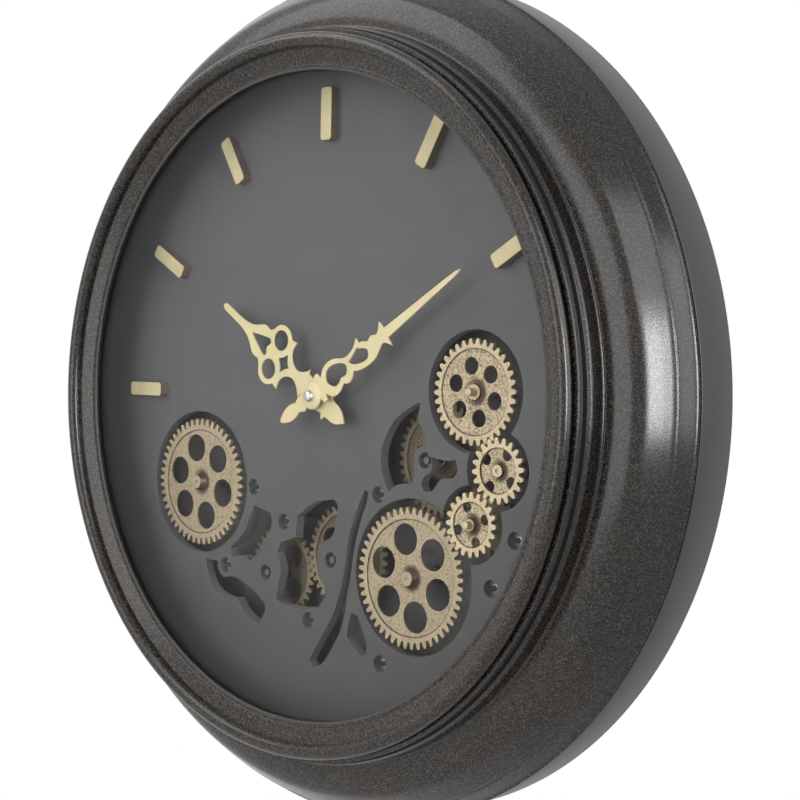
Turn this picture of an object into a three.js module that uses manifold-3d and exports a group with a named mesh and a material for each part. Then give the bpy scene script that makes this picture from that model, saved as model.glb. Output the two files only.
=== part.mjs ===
// Round gear clock for a wall: a turned metal case, a glazed bezel, a pierced dial and two layers of wheels.
// Millimetres. +Z is up, -Y faces the room, and the origin is on the clock's axis in the wall plane.
// Angles are in degrees. On the dial they run anticlockwise from +X as seen from the room.
import * as THREE from 'three';
import { mergeVertices } from 'three/addons/utils/BufferGeometryUtils.js';
import Module from 'manifold-3d';

const wasm = await Module();
wasm.setup();

// Driving dimensions: depths along Y, from the wall plane towards the room
const GAP = 0.3;
const LEDGE_FRONT = -18;
const PLATE_THICK = 2.5;
const PLATE_FRONT = LEDGE_FRONT - PLATE_THICK;
const HIDDEN_FRONT = -28.5;
const WHEEL_THICK = 2.2;
const PINION_THICK = 3;
const DIAL_BACK = -36.1;
const DIAL_FRONT = -41.6;
const RAISED_WHEEL_FRONT = DIAL_FRONT - 1.5;
const MARKER_FRONT = -47.1;
const HOUR_FRONT = -50.6;
const MINUTE_FRONT = -54;
const HAND_THICK = 0.9;
const CAP_FRONT = -58.1;
const LIP_FRONT = -69.6;
const LIP_BACK = -68.7;
const GLASS_FRONT = -67.2;
const GLASS_BACK = -64.8;
const RETAINER_BACK = -62.8;

// Driving dimensions: radii about the clock's axis
const CASE_RADIUS = 230;
const BAND_FRONT_RADIUS = 229.5;
const BAND_BACK_RADIUS = 229.1;
const PLATE_RADIUS = 226.9;
const DIAL_RADIUS = 213;
const LENS_RADIUS = 187.5;
const GASKET_INNER = 173;
const RETAINER_INNER = 184.3;
const LIP_RADIUS = 172.4;
const ROLL = { r: 187.4, y: -74.7, radius: 4 };
const CASE_WALL = 2.5;
const SEGMENTS = 48;
const INNER_SEGMENTS = SEGMENTS / 2;

// Finishes: colour, roughness, metalness
const FINISH = {
  gunmetal: [0x3b3836, 0.4, 0.7],
  satin_grey: [0x3f3d3d, 0.5, 0.5],
  dial_grey: [0x595959, 0.6, 0.2],
  rubber: [0x161616, 0.9, 0],
  glass: [0xe8f0f0, 0.05, 0],
  antique_brass: [0xbfae82, 0.45, 0.7],
  pale_gold: [0xd3c89c, 0.4, 0.6],
  steel: [0xc4c4c0, 0.3, 0.9],
  black_plastic: [0x222224, 0.6, 0],
  grey_plastic: [0x4a4a4c, 0.6, 0],
  cell_wrap: [0x6c7f6a, 0.4, 0.2],
};

const clock = new THREE.Group();

function place(name, geometry, finish, position = [0, 0, 0], turn = 0) {
  const [color, roughness, metalness] = FINISH[finish];
  const mesh = new THREE.Mesh(geometry, new THREE.MeshStandardMaterial({ color, roughness, metalness }));
  mesh.name = name;
  mesh.position.set(...position);
  mesh.rotation.y = THREE.MathUtils.degToRad(turn);
  clock.add(mesh);
}

// Shape helpers. Flat outlines are drawn as seen from the room, x right and y up, then stood up in the XZ
// plane.
const STAND_UP = new THREE.Matrix4().set(1, 0, 0, 0, 0, 0, -1, 0, 0, 1, 0, 0, 0, 0, 0, 1);

function slab(shape, front, back, curveSegments = 12) {
  const settings = { depth: back - front, bevelEnabled: false, curveSegments };
  const geometry = new THREE.ExtrudeGeometry(shape, settings);
  return geometry.applyMatrix4(STAND_UP).translate(0, back, 0);
}

// Every outline is turned anticlockwise, the way that its holes need.
function outline(points) {
  const corners = points.map(([x, y]) => new THREE.Vector2(x, y));
  if (THREE.ShapeUtils.area(corners) < 0) corners.reverse();
  return new THREE.Shape(corners);
}

function disc(radius, x = 0, z = 0) {
  return new THREE.Shape().absarc(x, z, radius, 0, 2 * Math.PI);
}

function rod(radius, front, back, x = 0, z = 0, sides = 12) {
  return slab(disc(radius, x, z), front, back, sides);
}

// A turned piece: the profile is a closed loop of [radius, y], or starts and ends on the axis.
function turned(profile, segments = SEGMENTS) {
  const points = profile.map(([radius, y]) => new THREE.Vector2(radius, y));
  const onAxis = profile[0][0] === 0 && profile[profile.length - 1][0] === 0;
  if (!onAxis) points.push(points[0].clone());
  if (THREE.ShapeUtils.area(points) < 0) points.reverse();
  return new THREE.LatheGeometry(points, segments);
}

function box(x0, x1, y0, y1, z0, z1) {
  const geometry = new THREE.BoxGeometry(x1 - x0, y1 - y0, z1 - z0);
  return geometry.translate((x0 + x1) / 2, (y0 + y1) / 2, (z0 + z1) / 2);
}

function rodAlongX(radius, x0, x1, y, z, sides = 12) {
  const geometry = new THREE.CylinderGeometry(radius, radius, x1 - x0, sides);
  return geometry.rotateZ(Math.PI / 2).translate((x0 + x1) / 2, y, z);
}

// Joins and cuts
function solid(geometry) {
  const bare = geometry.clone();
  bare.deleteAttribute('normal');
  bare.deleteAttribute('uv');
  const merged = mergeVertices(bare, 1e-4);
  const vertProperties = merged.attributes.position.array;
  const triVerts = Uint32Array.from(merged.index.array);
  return new wasm.Manifold(new wasm.Mesh({ numProp: 3, vertProperties, triVerts }));
}

function surface(piece) {
  const mesh = piece.getMesh();
  const geometry = new THREE.BufferGeometry();
  geometry.setAttribute('position', new THREE.BufferAttribute(mesh.vertProperties, 3));
  geometry.setIndex(new THREE.BufferAttribute(mesh.triVerts, 1));
  return geometry;
}

function joined(first, ...others) {
  return surface(others.reduce((whole, other) => whole.add(solid(other)), solid(first)));
}

function cut(whole, ...tools) {
  return surface(tools.reduce((rest, tool) => rest.subtract(solid(tool)), solid(whole)));
}

function polar(radius, angle, x = 0, z = 0) {
  const a = THREE.MathUtils.degToRad(angle);
  return [x + radius * Math.cos(a), z + radius * Math.sin(a)];
}

// Case: bezel, front case, lens and its seal, side band
function rollPoints() {
  return [180, 225, 270, 315, 360].map((angle) => polar(ROLL.radius, angle, ROLL.r, ROLL.y));
}

const NECK_INNER = 190.5;
const SKIRT_OUTER = NECK_INNER - GAP;
const SKIRT_INNER = LENS_RADIUS + GAP;

function bezelProfile() {
  return [
    [LIP_RADIUS, LIP_BACK], [LIP_RADIUS, LIP_FRONT], [176.3, LIP_FRONT], [183.4, -72.6],
    ...rollPoints(),
    [SKIRT_OUTER, -74.2], [SKIRT_OUTER, RETAINER_BACK], [SKIRT_INNER, RETAINER_BACK], [SKIRT_INNER, LIP_BACK],
  ];
}

// Rings inside the side band as inner radius, outer radius, front and back: one holds the plate, one is the rim
const BAND_FRONT = -27.4;
const PLATE_LEDGE = [221.5, PLATE_RADIUS, LEDGE_FRONT, LEDGE_FRONT + 2];
const REAR_RING = [222, PLATE_RADIUS, -1.5, 0];

// Outer face from the neck over the cove and the ogee to the seam, then the inner face back to the neck
const COVE = { r: 202.8, y: -62.6, radius: 7 };

function covePoints(radius, angles) {
  return angles.map((angle) => polar(radius, angle, COVE.r, COVE.y));
}

function caseProfile() {
  const spigotOuter = PLATE_RADIUS;
  const spigotInner = spigotOuter - 2;
  return [
    [NECK_INNER, -73.6], [193, -73.9], [193.8, -70], [195.4, -65],
    ...covePoints(COVE.radius, [180, 150, 120, 90]),
    [208.8, -54.5], [214, -51.6], [219, -46.6], [223.3, -40.2], [CASE_RADIUS, -28.6],
    [spigotOuter, -28.6], [spigotOuter, PLATE_FRONT], [spigotInner, PLATE_FRONT], [spigotInner, -31],
    [220.8, -38.9], [212.6, -48.7],
    ...covePoints(COVE.radius + CASE_WALL, [90, 135, 180]),
    [NECK_INNER, -64],
  ];
}

function bandProfile() {
  const wallInner = PLATE_RADIUS + GAP;
  return [[BAND_FRONT_RADIUS, BAND_FRONT], [BAND_BACK_RADIUS, 0], [wallInner, 0], [wallInner, BAND_FRONT]];
}

function ringProfile(inner, outer, front, back) {
  return [[inner, front], [outer, front], [outer, back], [inner, back]];
}

function addCase() {
  place('bezel_ring', turned(bezelProfile()), 'gunmetal');
  place('front_case', turned(caseProfile()), 'gunmetal');
  const gasket = ringProfile(GASKET_INNER, LENS_RADIUS, LIP_BACK, GLASS_FRONT);
  const lens = [[0, GLASS_FRONT], [LENS_RADIUS, GLASS_FRONT], [LENS_RADIUS, GLASS_BACK], [0, GLASS_BACK]];
  const retainer = ringProfile(RETAINER_INNER, LENS_RADIUS, GLASS_BACK, RETAINER_BACK);
  place('lens_gasket', turned(gasket, INNER_SEGMENTS), 'rubber');
  place('glass_lens', turned(lens, INNER_SEGMENTS), 'glass');
  place('lens_retainer', turned(retainer, INNER_SEGMENTS), 'gunmetal');
  place('side_band', turned(bandProfile()), 'satin_grey');
  place('plate_ledge', turned(ringProfile(...PLATE_LEDGE)), 'satin_grey');
  place('rear_ring', turned(ringProfile(...REAR_RING)), 'satin_grey');
}

// Wheels: place, teeth, tip and root radius, lightening holes as [count, radius, ring, first angle], and the
// hub as [face radius, foot radius, height]. A pin is the arbor's length past the wheel's front. The other
// arbors end in the hub. Meshed wheels take their phase from the one before.
const HIDDEN_PIN = HIDDEN_FRONT - DIAL_FRONT - 1;
const WHEELS = {
  left: { x: -106.6, z: -53.6, teeth: 48, tip: 37.1, root: 33.3, phase: -1, front: DIAL_FRONT,
    holes: [6, 8, 20.2, -16], hub: [3.9, 5.6, 3] },
  main: { x: 64.6, z: -92.9, teeth: 48, tip: 37.1, root: 33.4, phase: -3.5, front: RAISED_WHEEL_FRONT,
    holes: [6, 8.3, 20.4, 41.3], hub: [3.9, 5.4, 2.4] },
  idler_lower: { x: 105.7, z: -61.7, teeth: 20, tip: 16.6, root: 13.6, follows: 'main',
    front: RAISED_WHEEL_FRONT, holes: [4, 2.75, 9.3, 19.5], hub: [3.1, 4.1, 1], pin: 4.4 },
  idler_upper: { x: 121.4, z: -33.7, teeth: 20, tip: 16.8, root: 13.6, follows: 'idler_lower',
    front: DIAL_FRONT, holes: [4, 3, 9.8, 56], hub: [3.2, 3.7, 0.4] },
  upper_right: { x: 105.1, z: 5, teeth: 34, tip: 27.1, root: 24.1, follows: 'idler_upper', front: DIAL_FRONT,
    holes: [6, 4.5, 13.5, 42], hub: [4, 4.5, 0.4], pin: 5.1 },
  hidden_right: { x: 72.4, z: -31.2, teeth: 38, tip: 30.5, root: 27.2, follows: 'idler_lower',
    front: HIDDEN_FRONT, holes: [5, 4.5, 15, 100], hub: [3.5, 4, 0.8], pin: HIDDEN_PIN },
  hidden_bottom: { x: 4.3, z: -89.3, teeth: 38, tip: 30.4, root: 27.1, phase: 0, front: HIDDEN_FRONT,
    holes: [4, 7, 15.5, 55], hub: [3.5, 4, 0.8], pin: HIDDEN_PIN },
  hidden_left: { x: -48.1, z: -101.4, teeth: 32, tip: 26, root: 22.7, follows: 'hidden_bottom',
    front: HIDDEN_FRONT, holes: [4, 6, 13, 45], hub: [3.5, 4, 0.8], pin: HIDDEN_PIN },
};
const ARBOR_RADIUS = 2;
const HUB_DEPTH = 3;
const HUB_BACK_RADIUS = 3.5;
const HUB_FACE = 1;
const TOOTH_ROOT_SHARE = 0.27;
const TOOTH_TIP_SHARE = 0.1;

// A follower's teeth fall in the leader's gaps on the line between their centres.
function phaseOf(wheel) {
  if (!wheel.follows) return wheel.phase;
  const leader = WHEELS[wheel.follows];
  const line = THREE.MathUtils.radToDeg(Math.atan2(wheel.z - leader.z, wheel.x - leader.x));
  const leaderShare = (phaseOf(leader) - line) / (360 / leader.teeth);
  const pitch = 360 / wheel.teeth;
  const phase = line + 180 + pitch * (0.5 - leaderShare);
  return phase - pitch * Math.round(phase / pitch);
}

function toothedOutline(wheel, phase) {
  const pitch = 360 / wheel.teeth;
  const points = [];
  for (let tooth = 0; tooth < wheel.teeth; tooth += 1) {
    const middle = phase + tooth * pitch;
    points.push(polar(wheel.root, middle - TOOTH_ROOT_SHARE * pitch));
    points.push(polar(wheel.tip, middle - TOOTH_TIP_SHARE * pitch));
    points.push(polar(wheel.tip, middle + TOOTH_TIP_SHARE * pitch));
    points.push(polar(wheel.root, middle + TOOTH_ROOT_SHARE * pitch));
  }
  return outline(points);
}

// The hub tapers from its face to its foot in front of the web, and has a plain collar behind it.
function hubGeometry(wheel) {
  const [faceRadius, footRadius, height] = wheel.hub;
  const face = wheel.front - height;
  const step = wheel.front + WHEEL_THICK / 2;
  const back = wheel.front + HUB_DEPTH;
  return turned([[0, face], [faceRadius, face], [footRadius, wheel.front], [footRadius, step],
    [HUB_BACK_RADIUS, step], [HUB_BACK_RADIUS, back], [0, back]], 10);
}

function arborTip({ front, hub, pin }) {
  return pin ? front - pin : front - hub[2] + HUB_FACE + GAP;
}

function wheelGeometry(wheel) {
  const [count, radius, ring, first] = wheel.holes;
  const back = wheel.front + WHEEL_THICK;
  const blank = toothedOutline(wheel, phaseOf(wheel));
  for (let i = 0; i < count; i += 1) {
    blank.holes.push(disc(radius, ...polar(ring, first + (360 / count) * i)));
  }
  const bore = rod(ARBOR_RADIUS + GAP, arborTip(wheel) - GAP, wheel.front + HUB_DEPTH + 1, 0, 0, 4);
  const whole = solid(slab(blank, wheel.front, back, 5)).add(solid(hubGeometry(wheel)));
  return surface(whole.subtract(solid(bore)));
}

const DRIVEN = ['left', 'main', 'hidden_bottom'];
const DRIVE = { radius: 15, back: -5, bore: 8, ears: 22 };

function arborGeometry(name, wheel) {
  const back = DRIVEN.includes(name) ? LEDGE_FRONT + DRIVE.bore - 1 : LEDGE_FRONT + 1;
  const shaft = rod(ARBOR_RADIUS, arborTip(wheel), back, 0, 0, 6);
  if (name !== 'idler_lower') return shaft;
  const follower = WHEELS.hidden_right;
  const line = THREE.MathUtils.radToDeg(Math.atan2(follower.z - wheel.z, follower.x - wheel.x));
  const followerShare = (phaseOf(follower) - line - 180) / (360 / follower.teeth);
  const pinionPhase = line + (360 / wheel.teeth) * (0.5 - followerShare);
  const pinion = slab(toothedOutline(wheel, pinionPhase), HIDDEN_FRONT, HIDDEN_FRONT + PINION_THICK, 6);
  return joined(shaft, pinion);
}

function driveGeometry() {
  const body = rod(DRIVE.radius, LEDGE_FRONT, DRIVE.back, 0, 0, 10);
  const foot = box(-DRIVE.ears, DRIVE.ears, LEDGE_FRONT, LEDGE_FRONT + 1.5, -5, 5);
  const bore = rod(ARBOR_RADIUS + GAP, LEDGE_FRONT - 1, LEDGE_FRONT + DRIVE.bore, 0, 0, 6);
  return surface(solid(body).add(solid(foot)).subtract(solid(bore)));
}

function addWheels() {
  for (const [name, wheel] of Object.entries(WHEELS)) {
    const centre = [wheel.x, 0, wheel.z];
    place(`wheel_${name}`, wheelGeometry(wheel), 'antique_brass', centre);
    place(`arbor_${name}`, arborGeometry(name, wheel), 'antique_brass', centre);
    if (DRIVEN.includes(name)) place(`drive_${name}`, driveGeometry(), 'black_plastic', centre);
  }
}

// Dial: a thick plate with wells round the front wheels, cut-outs over the hidden ones and sunk screws
const WELLS = [[-106.6, -53.6, 41.4], [105.3, 5.2, 31.2], [121.4, -33.7, 20], [105, -61.8, 20],
  [64.9, -92.5, 41]];
const CUT_OUTS = {
  slit: [[29.3, -49.5], [25, -58], [18.5, -74.5], [13.7, -100.7], [7, -119], [-3, -134], [-10.6, -145.6],
    [-7.6, -149.5], [-1, -146.5], [6, -137.5], [13.4, -125], [18.8, -101.5], [23.6, -75.5], [30, -58],
    [32, -50.5]],
  leaf: [[21.2, -116.4], [25.5, -117.4], [29.3, -124.5], [32.9, -131.7], [31.7, -137.6], [28.1, -138.3],
    [22.5, -133.5], [18.1, -129.3], [19, -123]],
  crescent: [[68.1, -1.4], [58, -6.3], [49.5, -12.6], [42.4, -24.5], [41.2, -34], [43.6, -42.4],
    [47.1, -49], [53.1, -44.8], [62.6, -44], [64.9, -38.8], [64.1, -31.2], [66.5, -25.3], [72.4, -22.9],
    [72, -18], [67.4, -11.4]],
  bridge_window: [[76.9, -29.3], [80.5, -30], [90, -30.5], [93.1, -29.3], [95.2, -35.2], [91.2, -39.3],
    [84, -40], [79.3, -44.8], [76.9, -47.1], [72.1, -47.1], [70.5, -44], [72.1, -40], [76.4, -37.6],
    [77.6, -34]],
  left_window: [[-58.8, -64.3], [-44.5, -67.4], [-43.3, -74.5], [-54.5, -90], [-61.2, -96], [-64.8, -93.6],
    [-76.7, -94.8], [-78.3, -90], [-66, -79.3], [-61.2, -69.8]],
  lower_window: [[-100, -98.8], [-89.8, -98.8], [-88.6, -104.3], [-83.8, -107.9], [-75.5, -106.7],
    [-63.6, -110.2], [-54, -115], [-49.3, -118.6], [-47.4, -122.1], [-52.9, -131.2], [-64.8, -125.7],
    [-71.2, -118.6], [-82.6, -118.6], [-93.3, -113.8], [-99.3, -104.3]],
  middle_window: [[-22.4, -67.4], [-8.8, -59], [5.5, -56.2], [9, -58.3], [8.3, -67.4], [5.5, -75.7],
    [-0.5, -79.3], [-4.8, -82.9], [-6.4, -91.2], [-5.2, -98.3], [-0.5, -104.3], [0.2, -110.2],
    [-4.8, -116.2], [-18.3, -117.9], [-32.6, -117.4], [-38.6, -115.5], [-36.9, -106.7], [-35, -98.3],
    [-38.6, -88.8], [-35.5, -83.3], [-23.6, -79.3]],
};
const SCREWS = [[39.5, -51.2], [-59.5, -53.6], [-12.4, -124.3], [42.9, -140.7], [118.6, -92.6],
  [133.3, -67.4], [-33.8, -71.4], [-82.6, -100.5]];
const SCREW = { head: 2.5, shank: 1.2, front: -38.6, seat: -37.1, tip: -28 };
const SINK_RADIUS = 4.4;
const PIVOT_HOLE = 4.2;
const BUSH_RADIUS = 4;

function dialGeometry() {
  const over = DIAL_FRONT - 1;
  const under = DIAL_BACK + 1;
  const tools = WELLS.map(([x, z, radius]) => rod(radius, over, under, x, z, 14));
  tools.push(...Object.values(CUT_OUTS).map((points) => slab(outline(points), over, under)));
  for (const [x, z] of SCREWS) {
    tools.push(rod(SINK_RADIUS, over, SCREW.seat, x, z, 5));
    tools.push(rod(SCREW.shank + GAP, over, under, x, z, 3));
  }
  for (const name of ['hidden_right', 'hidden_bottom', 'hidden_left']) {
    tools.push(rod(PIVOT_HOLE, over, under, WHEELS[name].x, WHEELS[name].z, 5));
  }
  tools.push(rod(BUSH_RADIUS + GAP, over, under, 0, 0, 8));
  return cut(slab(disc(DIAL_RADIUS), DIAL_FRONT, DIAL_BACK, SEGMENTS / 2), ...tools);
}

function screwGeometry() {
  const head = rod(SCREW.head, SCREW.front, SCREW.seat, 0, 0, 5);
  return joined(head, rod(SCREW.shank, SCREW.seat, SCREW.tip, 0, 0, 3));
}

// Markers: bars with rounded corners at 9, 10, 11, 12, 1 and 2 o'clock
const MARKER_HOURS = [9, 10, 11, 12, 1, 2];
const MARKER = { inner: 138.5, outer: 167, width: 8, corner: 1.8 };

function roundedBar() {
  const { inner, outer, width, corner } = MARKER;
  const side = width / 2 - corner;
  const bar = new THREE.Shape();
  bar.absarc(side, inner + corner, corner, -Math.PI / 2, 0);
  bar.absarc(side, outer - corner, corner, 0, Math.PI / 2);
  bar.absarc(-side, outer - corner, corner, Math.PI / 2, Math.PI);
  bar.absarc(-side, inner + corner, corner, Math.PI, 1.5 * Math.PI);
  return bar;
}

function addDial() {
  place('dial_plate', dialGeometry(), 'dial_grey');
  SCREWS.forEach(([x, z], i) => place(`dial_screw_${i + 1}`, screwGeometry(), 'steel', [x, 0, z]));
  for (const hour of MARKER_HOURS) {
    const bar = slab(roundedBar(), MARKER_FRONT, DIAL_FRONT, 2);
    place(`marker_${hour}`, bar, 'pale_gold', [0, 0, 0], hour * 30);
  }
}

// Hands: outlines as [along, across] from the clock's axis, across is positive on the clockwise side
const HOUR_ANGLE = 303;
const MINUTE_ANGLE = 57.9;
const MINUTE_OFFSET = -0.3;
const HOUR_PIPE = { radius: 2.6, bore: 1.7, front: HOUR_FRONT - 0.6, back: -33.2 };
const MINUTE_ARBOR = { radius: 1.3, front: CAP_FRONT + 1.2, back: -33.2 };

const HOUR_HALF = [[92.2, 0.3], [90.5, 1.8], [88, 2.1], [80, 2.15], [72, 2.4], [66, 3.7], [63, 5],
  [60.5, 6.7], [57, 9.2], [55, 9.7], [53, 9.6], [51, 9.3], [48.6, 11.5], [46, 15.9], [42, 17.9],
  [38.4, 17.9], [35, 16.2], [33, 14.3], [28.7, 15.1], [29.2, 10.5], [28, 7], [26, 5], [23.5, 3.6], [21, 3],
  [19, 3.2], [17, 4.1], [15, 5.5], [13.2, 7.2], [12, 9.1], [11.1, 6.8], [9, 6.6], [6, 6.6], [0, 7],
  [-4, 6.6], [-8, 5.5], [-10, 8.6], [-11.5, 5.5], [-14, 5.3], [-17, 5.2], [-20, 4.4], [-22, 3.3],
  [-24, 1.6], [-25.5, 0.4]];
const HOUR_HEART = [[63, 0], [60, 1.3], [55, 3.3], [50, 5], [48.5, 5.4], [46.6, 4.6], [46.5, 3.2],
  [47.6, 1], [48.2, 0]];
const HOUR_DIAMOND = [[36.7, 0], [33.5, 2.7], [31.2, 6], [29, 2.2], [26.5, 0]];
const HOUR_LOOP = { along: 40.2, across: 9.4, radius: 5.75 };

const MINUTE_RIGHT = [[0, 7.5], [5.5, 5.2], [7, 8.5], [10, 8.2], [10.2, 4.8], [13, 8], [15, 9.2], [18, 9.7],
  [21, 8.9], [24.5, 6.9], [27.5, 8.7], [30, 8.6], [32, 7.7], [34.2, 5], [36, 6.2], [39, 7.2], [43, 8],
  [47, 8.2], [51, 7.8], [54, 6.7], [57, 5], [59, 3.9], [61, 4.1], [64, 7], [65, 8.3], [64.9, 3.2],
  [75, 2.8], [90, 2.3], [105, 1.7], [121, 1], [124.3, 0.1]];
const MINUTE_LEFT = [[121, -0.8], [105, -1.5], [90, -1.9], [75, -2.3], [64.6, -2.7], [63.8, -6.3],
  [63, -7.4], [61.6, -5.2], [59, -3], [57.5, -2.9], [54.5, -4.3], [50.8, -2.9], [47.5, -5], [45.3, -5.4],
  [44.6, -9], [42.5, -7.2], [40, -5.6], [37, -4.6], [34, -4.3], [31.5, -4.6], [29, -5.7], [26, -7.5],
  [23, -8.6], [20, -9], [17, -8.6], [14.5, -7.6], [11, -4.6], [9.8, -8], [7.1, -8.1], [5.5, -5.5],
  [0, -7.5]];
const MINUTE_TAIL_HALF = [[-6.2, 3.4], [-8.7, 4.95], [-11.5, 3.6], [-13, 2.85], [-14.3, 3.4], [-17, 4.1],
  [-20, 4.15], [-23, 3.5], [-26, 2.25], [-28.3, 0.9]];
const MINUTE_LOWER_OPENING = [[31, -0.5], [30.2, 2.5], [28, 4.1], [24.3, 3.5], [23, 4.5], [20.5, 5.3],
  [17.8, 5], [15, 2.3], [13.9, 0], [14.3, -2.5], [15.5, -4.5], [17.5, -5.7], [20, -6.1], [23, -5.6],
  [26, -4.6], [29, -2.9]];
const MINUTE_UPPER_OPENING = [[48.7, 1.5], [47, 4.5], [44, 4.9], [41, 4.3], [38, 3.2], [35.5, 1.8],
  [33.3, -0.8], [36, -1.6], [40, -3.2], [42.8, -4.3], [43.4, -3], [46, -1.9], [48.5, 0.3]];

function mirrored(half) {
  return [...half, ...[...half].reverse().map(([along, across]) => [along, -across])];
}

function handShape(points, openings) {
  const toShape = (list) => list.map(([along, across]) => [across, along]);
  const shape = outline(toShape(points));
  shape.holes.push(...openings.map((opening) => outline(toShape(opening))));
  return shape;
}

function pointed(half) {
  return [...half, ...half.slice(1, -1).reverse().map(([along, across]) => [along, -across])];
}

function hourHandGeometry() {
  const shape = handShape(mirrored(HOUR_HALF), [pointed(HOUR_HEART), pointed(HOUR_DIAMOND)]);
  const { along, across, radius } = HOUR_LOOP;
  shape.holes.push(disc(radius, across, along), disc(radius, -across, along));
  shape.holes.push(disc(HOUR_PIPE.radius + GAP));
  return slab(shape, HOUR_FRONT, HOUR_FRONT + HAND_THICK, 6);
}

function minuteHandGeometry() {
  const tailLeft = MINUTE_TAIL_HALF.map(([along, across]) => [along, -across]);
  const points = [...MINUTE_RIGHT, ...MINUTE_LEFT, ...tailLeft, ...[...MINUTE_TAIL_HALF].reverse()];
  const plate = slab(handShape(points, [MINUTE_LOWER_OPENING, MINUTE_UPPER_OPENING]), MINUTE_FRONT,
    MINUTE_FRONT + HAND_THICK).translate(MINUTE_OFFSET, 0, 0);
  const boss = turned([[0, MINUTE_FRONT - 0.9], [3.4, MINUTE_FRONT - 0.9], [7.4, MINUTE_FRONT],
    [7.4, MINUTE_FRONT + HAND_THICK], [0, MINUTE_FRONT + HAND_THICK]], 16);
  const bore = rod(MINUTE_ARBOR.radius + GAP, CAP_FRONT, HOUR_FRONT, 0, 0, 6);
  return surface(solid(plate).add(solid(boss)).subtract(solid(bore)));
}

function addHands() {
  const pipe = turned(ringProfile(HOUR_PIPE.bore, HOUR_PIPE.radius, HOUR_PIPE.front, HOUR_PIPE.back), 12);
  place('hour_pipe', pipe, 'steel');
  place('hour_hand', hourHandGeometry(), 'pale_gold', [0, 0, 0], HOUR_ANGLE);
  place('minute_arbor', rod(MINUTE_ARBOR.radius, MINUTE_ARBOR.front, MINUTE_ARBOR.back, 0, 0, 5), 'steel');
  place('minute_hand', minuteHandGeometry(), 'pale_gold', [0, 0, 0], MINUTE_ANGLE);
  const capBack = MINUTE_FRONT - 0.9;
  const dome = [[0, CAP_FRONT], [1.8, CAP_FRONT + 0.2], [2.9, CAP_FRONT + 1], [3.15, CAP_FRONT + 1.9]];
  const inside = [[2.9, capBack], [1.6, capBack], [1.6, CAP_FRONT + 0.9], [0, CAP_FRONT + 0.9]];
  place('cap_nut', turned([...dome, ...inside], 16), 'steel');
}

// Movement: housing with a long bush, its cell, the nut on the dial and the setting knob at the back
const MOVEMENT = { halfWidth: 28, top: 22, bottom: -34, back: -19.8, bushFront: -46.5, boreBack: -32.7 };
const FLANGE = { reach: 4, front: -22.6, back: PLATE_FRONT - GAP };
const CELL = { radius: 7.1, length: 50.5, cap: 1.5, capRadius: 2.7 };
const MOVEMENT_CELL = { y: -27.4, z: -24.5 };
const KNOB = { stem: 2, grip: 5, front: -18.4, back: -15.6 };

function movementGeometry() {
  const { halfWidth, top, bottom, back, bushFront, boreBack } = MOVEMENT;
  const pocketHalf = CELL.length / 2 + 0.8;
  const body = box(-halfWidth, halfWidth, DIAL_BACK, back, bottom, top);
  const bush = rod(BUSH_RADIUS, bushFront, DIAL_BACK + 1, 0, 0, 8);
  const bore = rod(HOUR_PIPE.radius + GAP, bushFront - 1, boreBack, 0, 0, 6);
  const pocket = box(-pocketHalf, pocketHalf, MOVEMENT_CELL.y - CELL.radius - 0.3, back + 1,
    MOVEMENT_CELL.z - CELL.radius - 0.6, MOVEMENT_CELL.z + CELL.radius + 0.6);
  const flange = box(-halfWidth - FLANGE.reach, halfWidth + FLANGE.reach, FLANGE.front, FLANGE.back,
    bottom - FLANGE.reach, top + FLANGE.reach);
  const whole = solid(body).add(solid(flange)).add(solid(bush));
  return surface(whole.subtract(solid(bore)).subtract(solid(pocket)));
}

function cellGeometry(x, y, z) {
  const half = CELL.length / 2;
  const shoulder = x + half - CELL.cap;
  const cap = rodAlongX(CELL.capRadius, shoulder, x + half, y, z, 8);
  return joined(rodAlongX(CELL.radius, x - half, shoulder, y, z), cap);
}

function addMovement() {
  place('quartz_movement', movementGeometry(), 'black_plastic');
  place('movement_battery', cellGeometry(0, MOVEMENT_CELL.y, MOVEMENT_CELL.z), 'cell_wrap');
  const nutShape = outline([0, 60, 120, 180, 240, 300].map((angle) => polar(6.9, angle)));
  nutShape.holes.push(disc(BUSH_RADIUS + GAP));
  place('fixing_nut', slab(nutShape, DIAL_FRONT - 2.6, DIAL_FRONT, 8), 'antique_brass');
  const { stem, grip, front, back } = KNOB;
  const tip = MOVEMENT.back + GAP;
  const knob = [[0, tip], [stem, tip], [stem, front], [grip, front], [grip, back], [0, back]];
  place('setting_knob', turned(knob, 16), 'grey_plastic');
}

// Mechanism plate: carries the dial on pillars, the arbors in bosses and the movement in a window
const PILLAR_RADIUS = 4;
const BOSS = { radius: 5, front: -24 };

function mechanismPlateGeometry() {
  const over = DIAL_BACK - 1;
  const under = LEDGE_FRONT + 1;
  let plate = solid(slab(disc(PLATE_RADIUS), PLATE_FRONT, LEDGE_FRONT, SEGMENTS / 2));
  const wheels = Object.values(WHEELS);
  const raised = [
    ...SCREWS.map(([x, z]) => rod(PILLAR_RADIUS, DIAL_BACK, LEDGE_FRONT, x, z, 4)),
    ...wheels.map(({ x, z }) => rod(BOSS.radius, BOSS.front, LEDGE_FRONT, x, z, 4)),
  ];
  const bored = [
    ...wheels.map(({ x, z }) => rod(ARBOR_RADIUS + GAP, over, under, x, z, 4)),
    ...SCREWS.map(([x, z]) => rod(SCREW.shank + GAP, over, SCREW.tip + 1, x, z, 3)),
  ];
  for (const piece of raised) plate = plate.add(solid(piece));
  for (const piece of bored) plate = plate.subtract(solid(piece));
  const { halfWidth, top, bottom } = MOVEMENT;
  const window = box(-halfWidth - 1.5, halfWidth + 1.5, over, under, bottom - 1.5, top + 1.5);
  return surface(plate.subtract(solid(window)));
}

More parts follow.
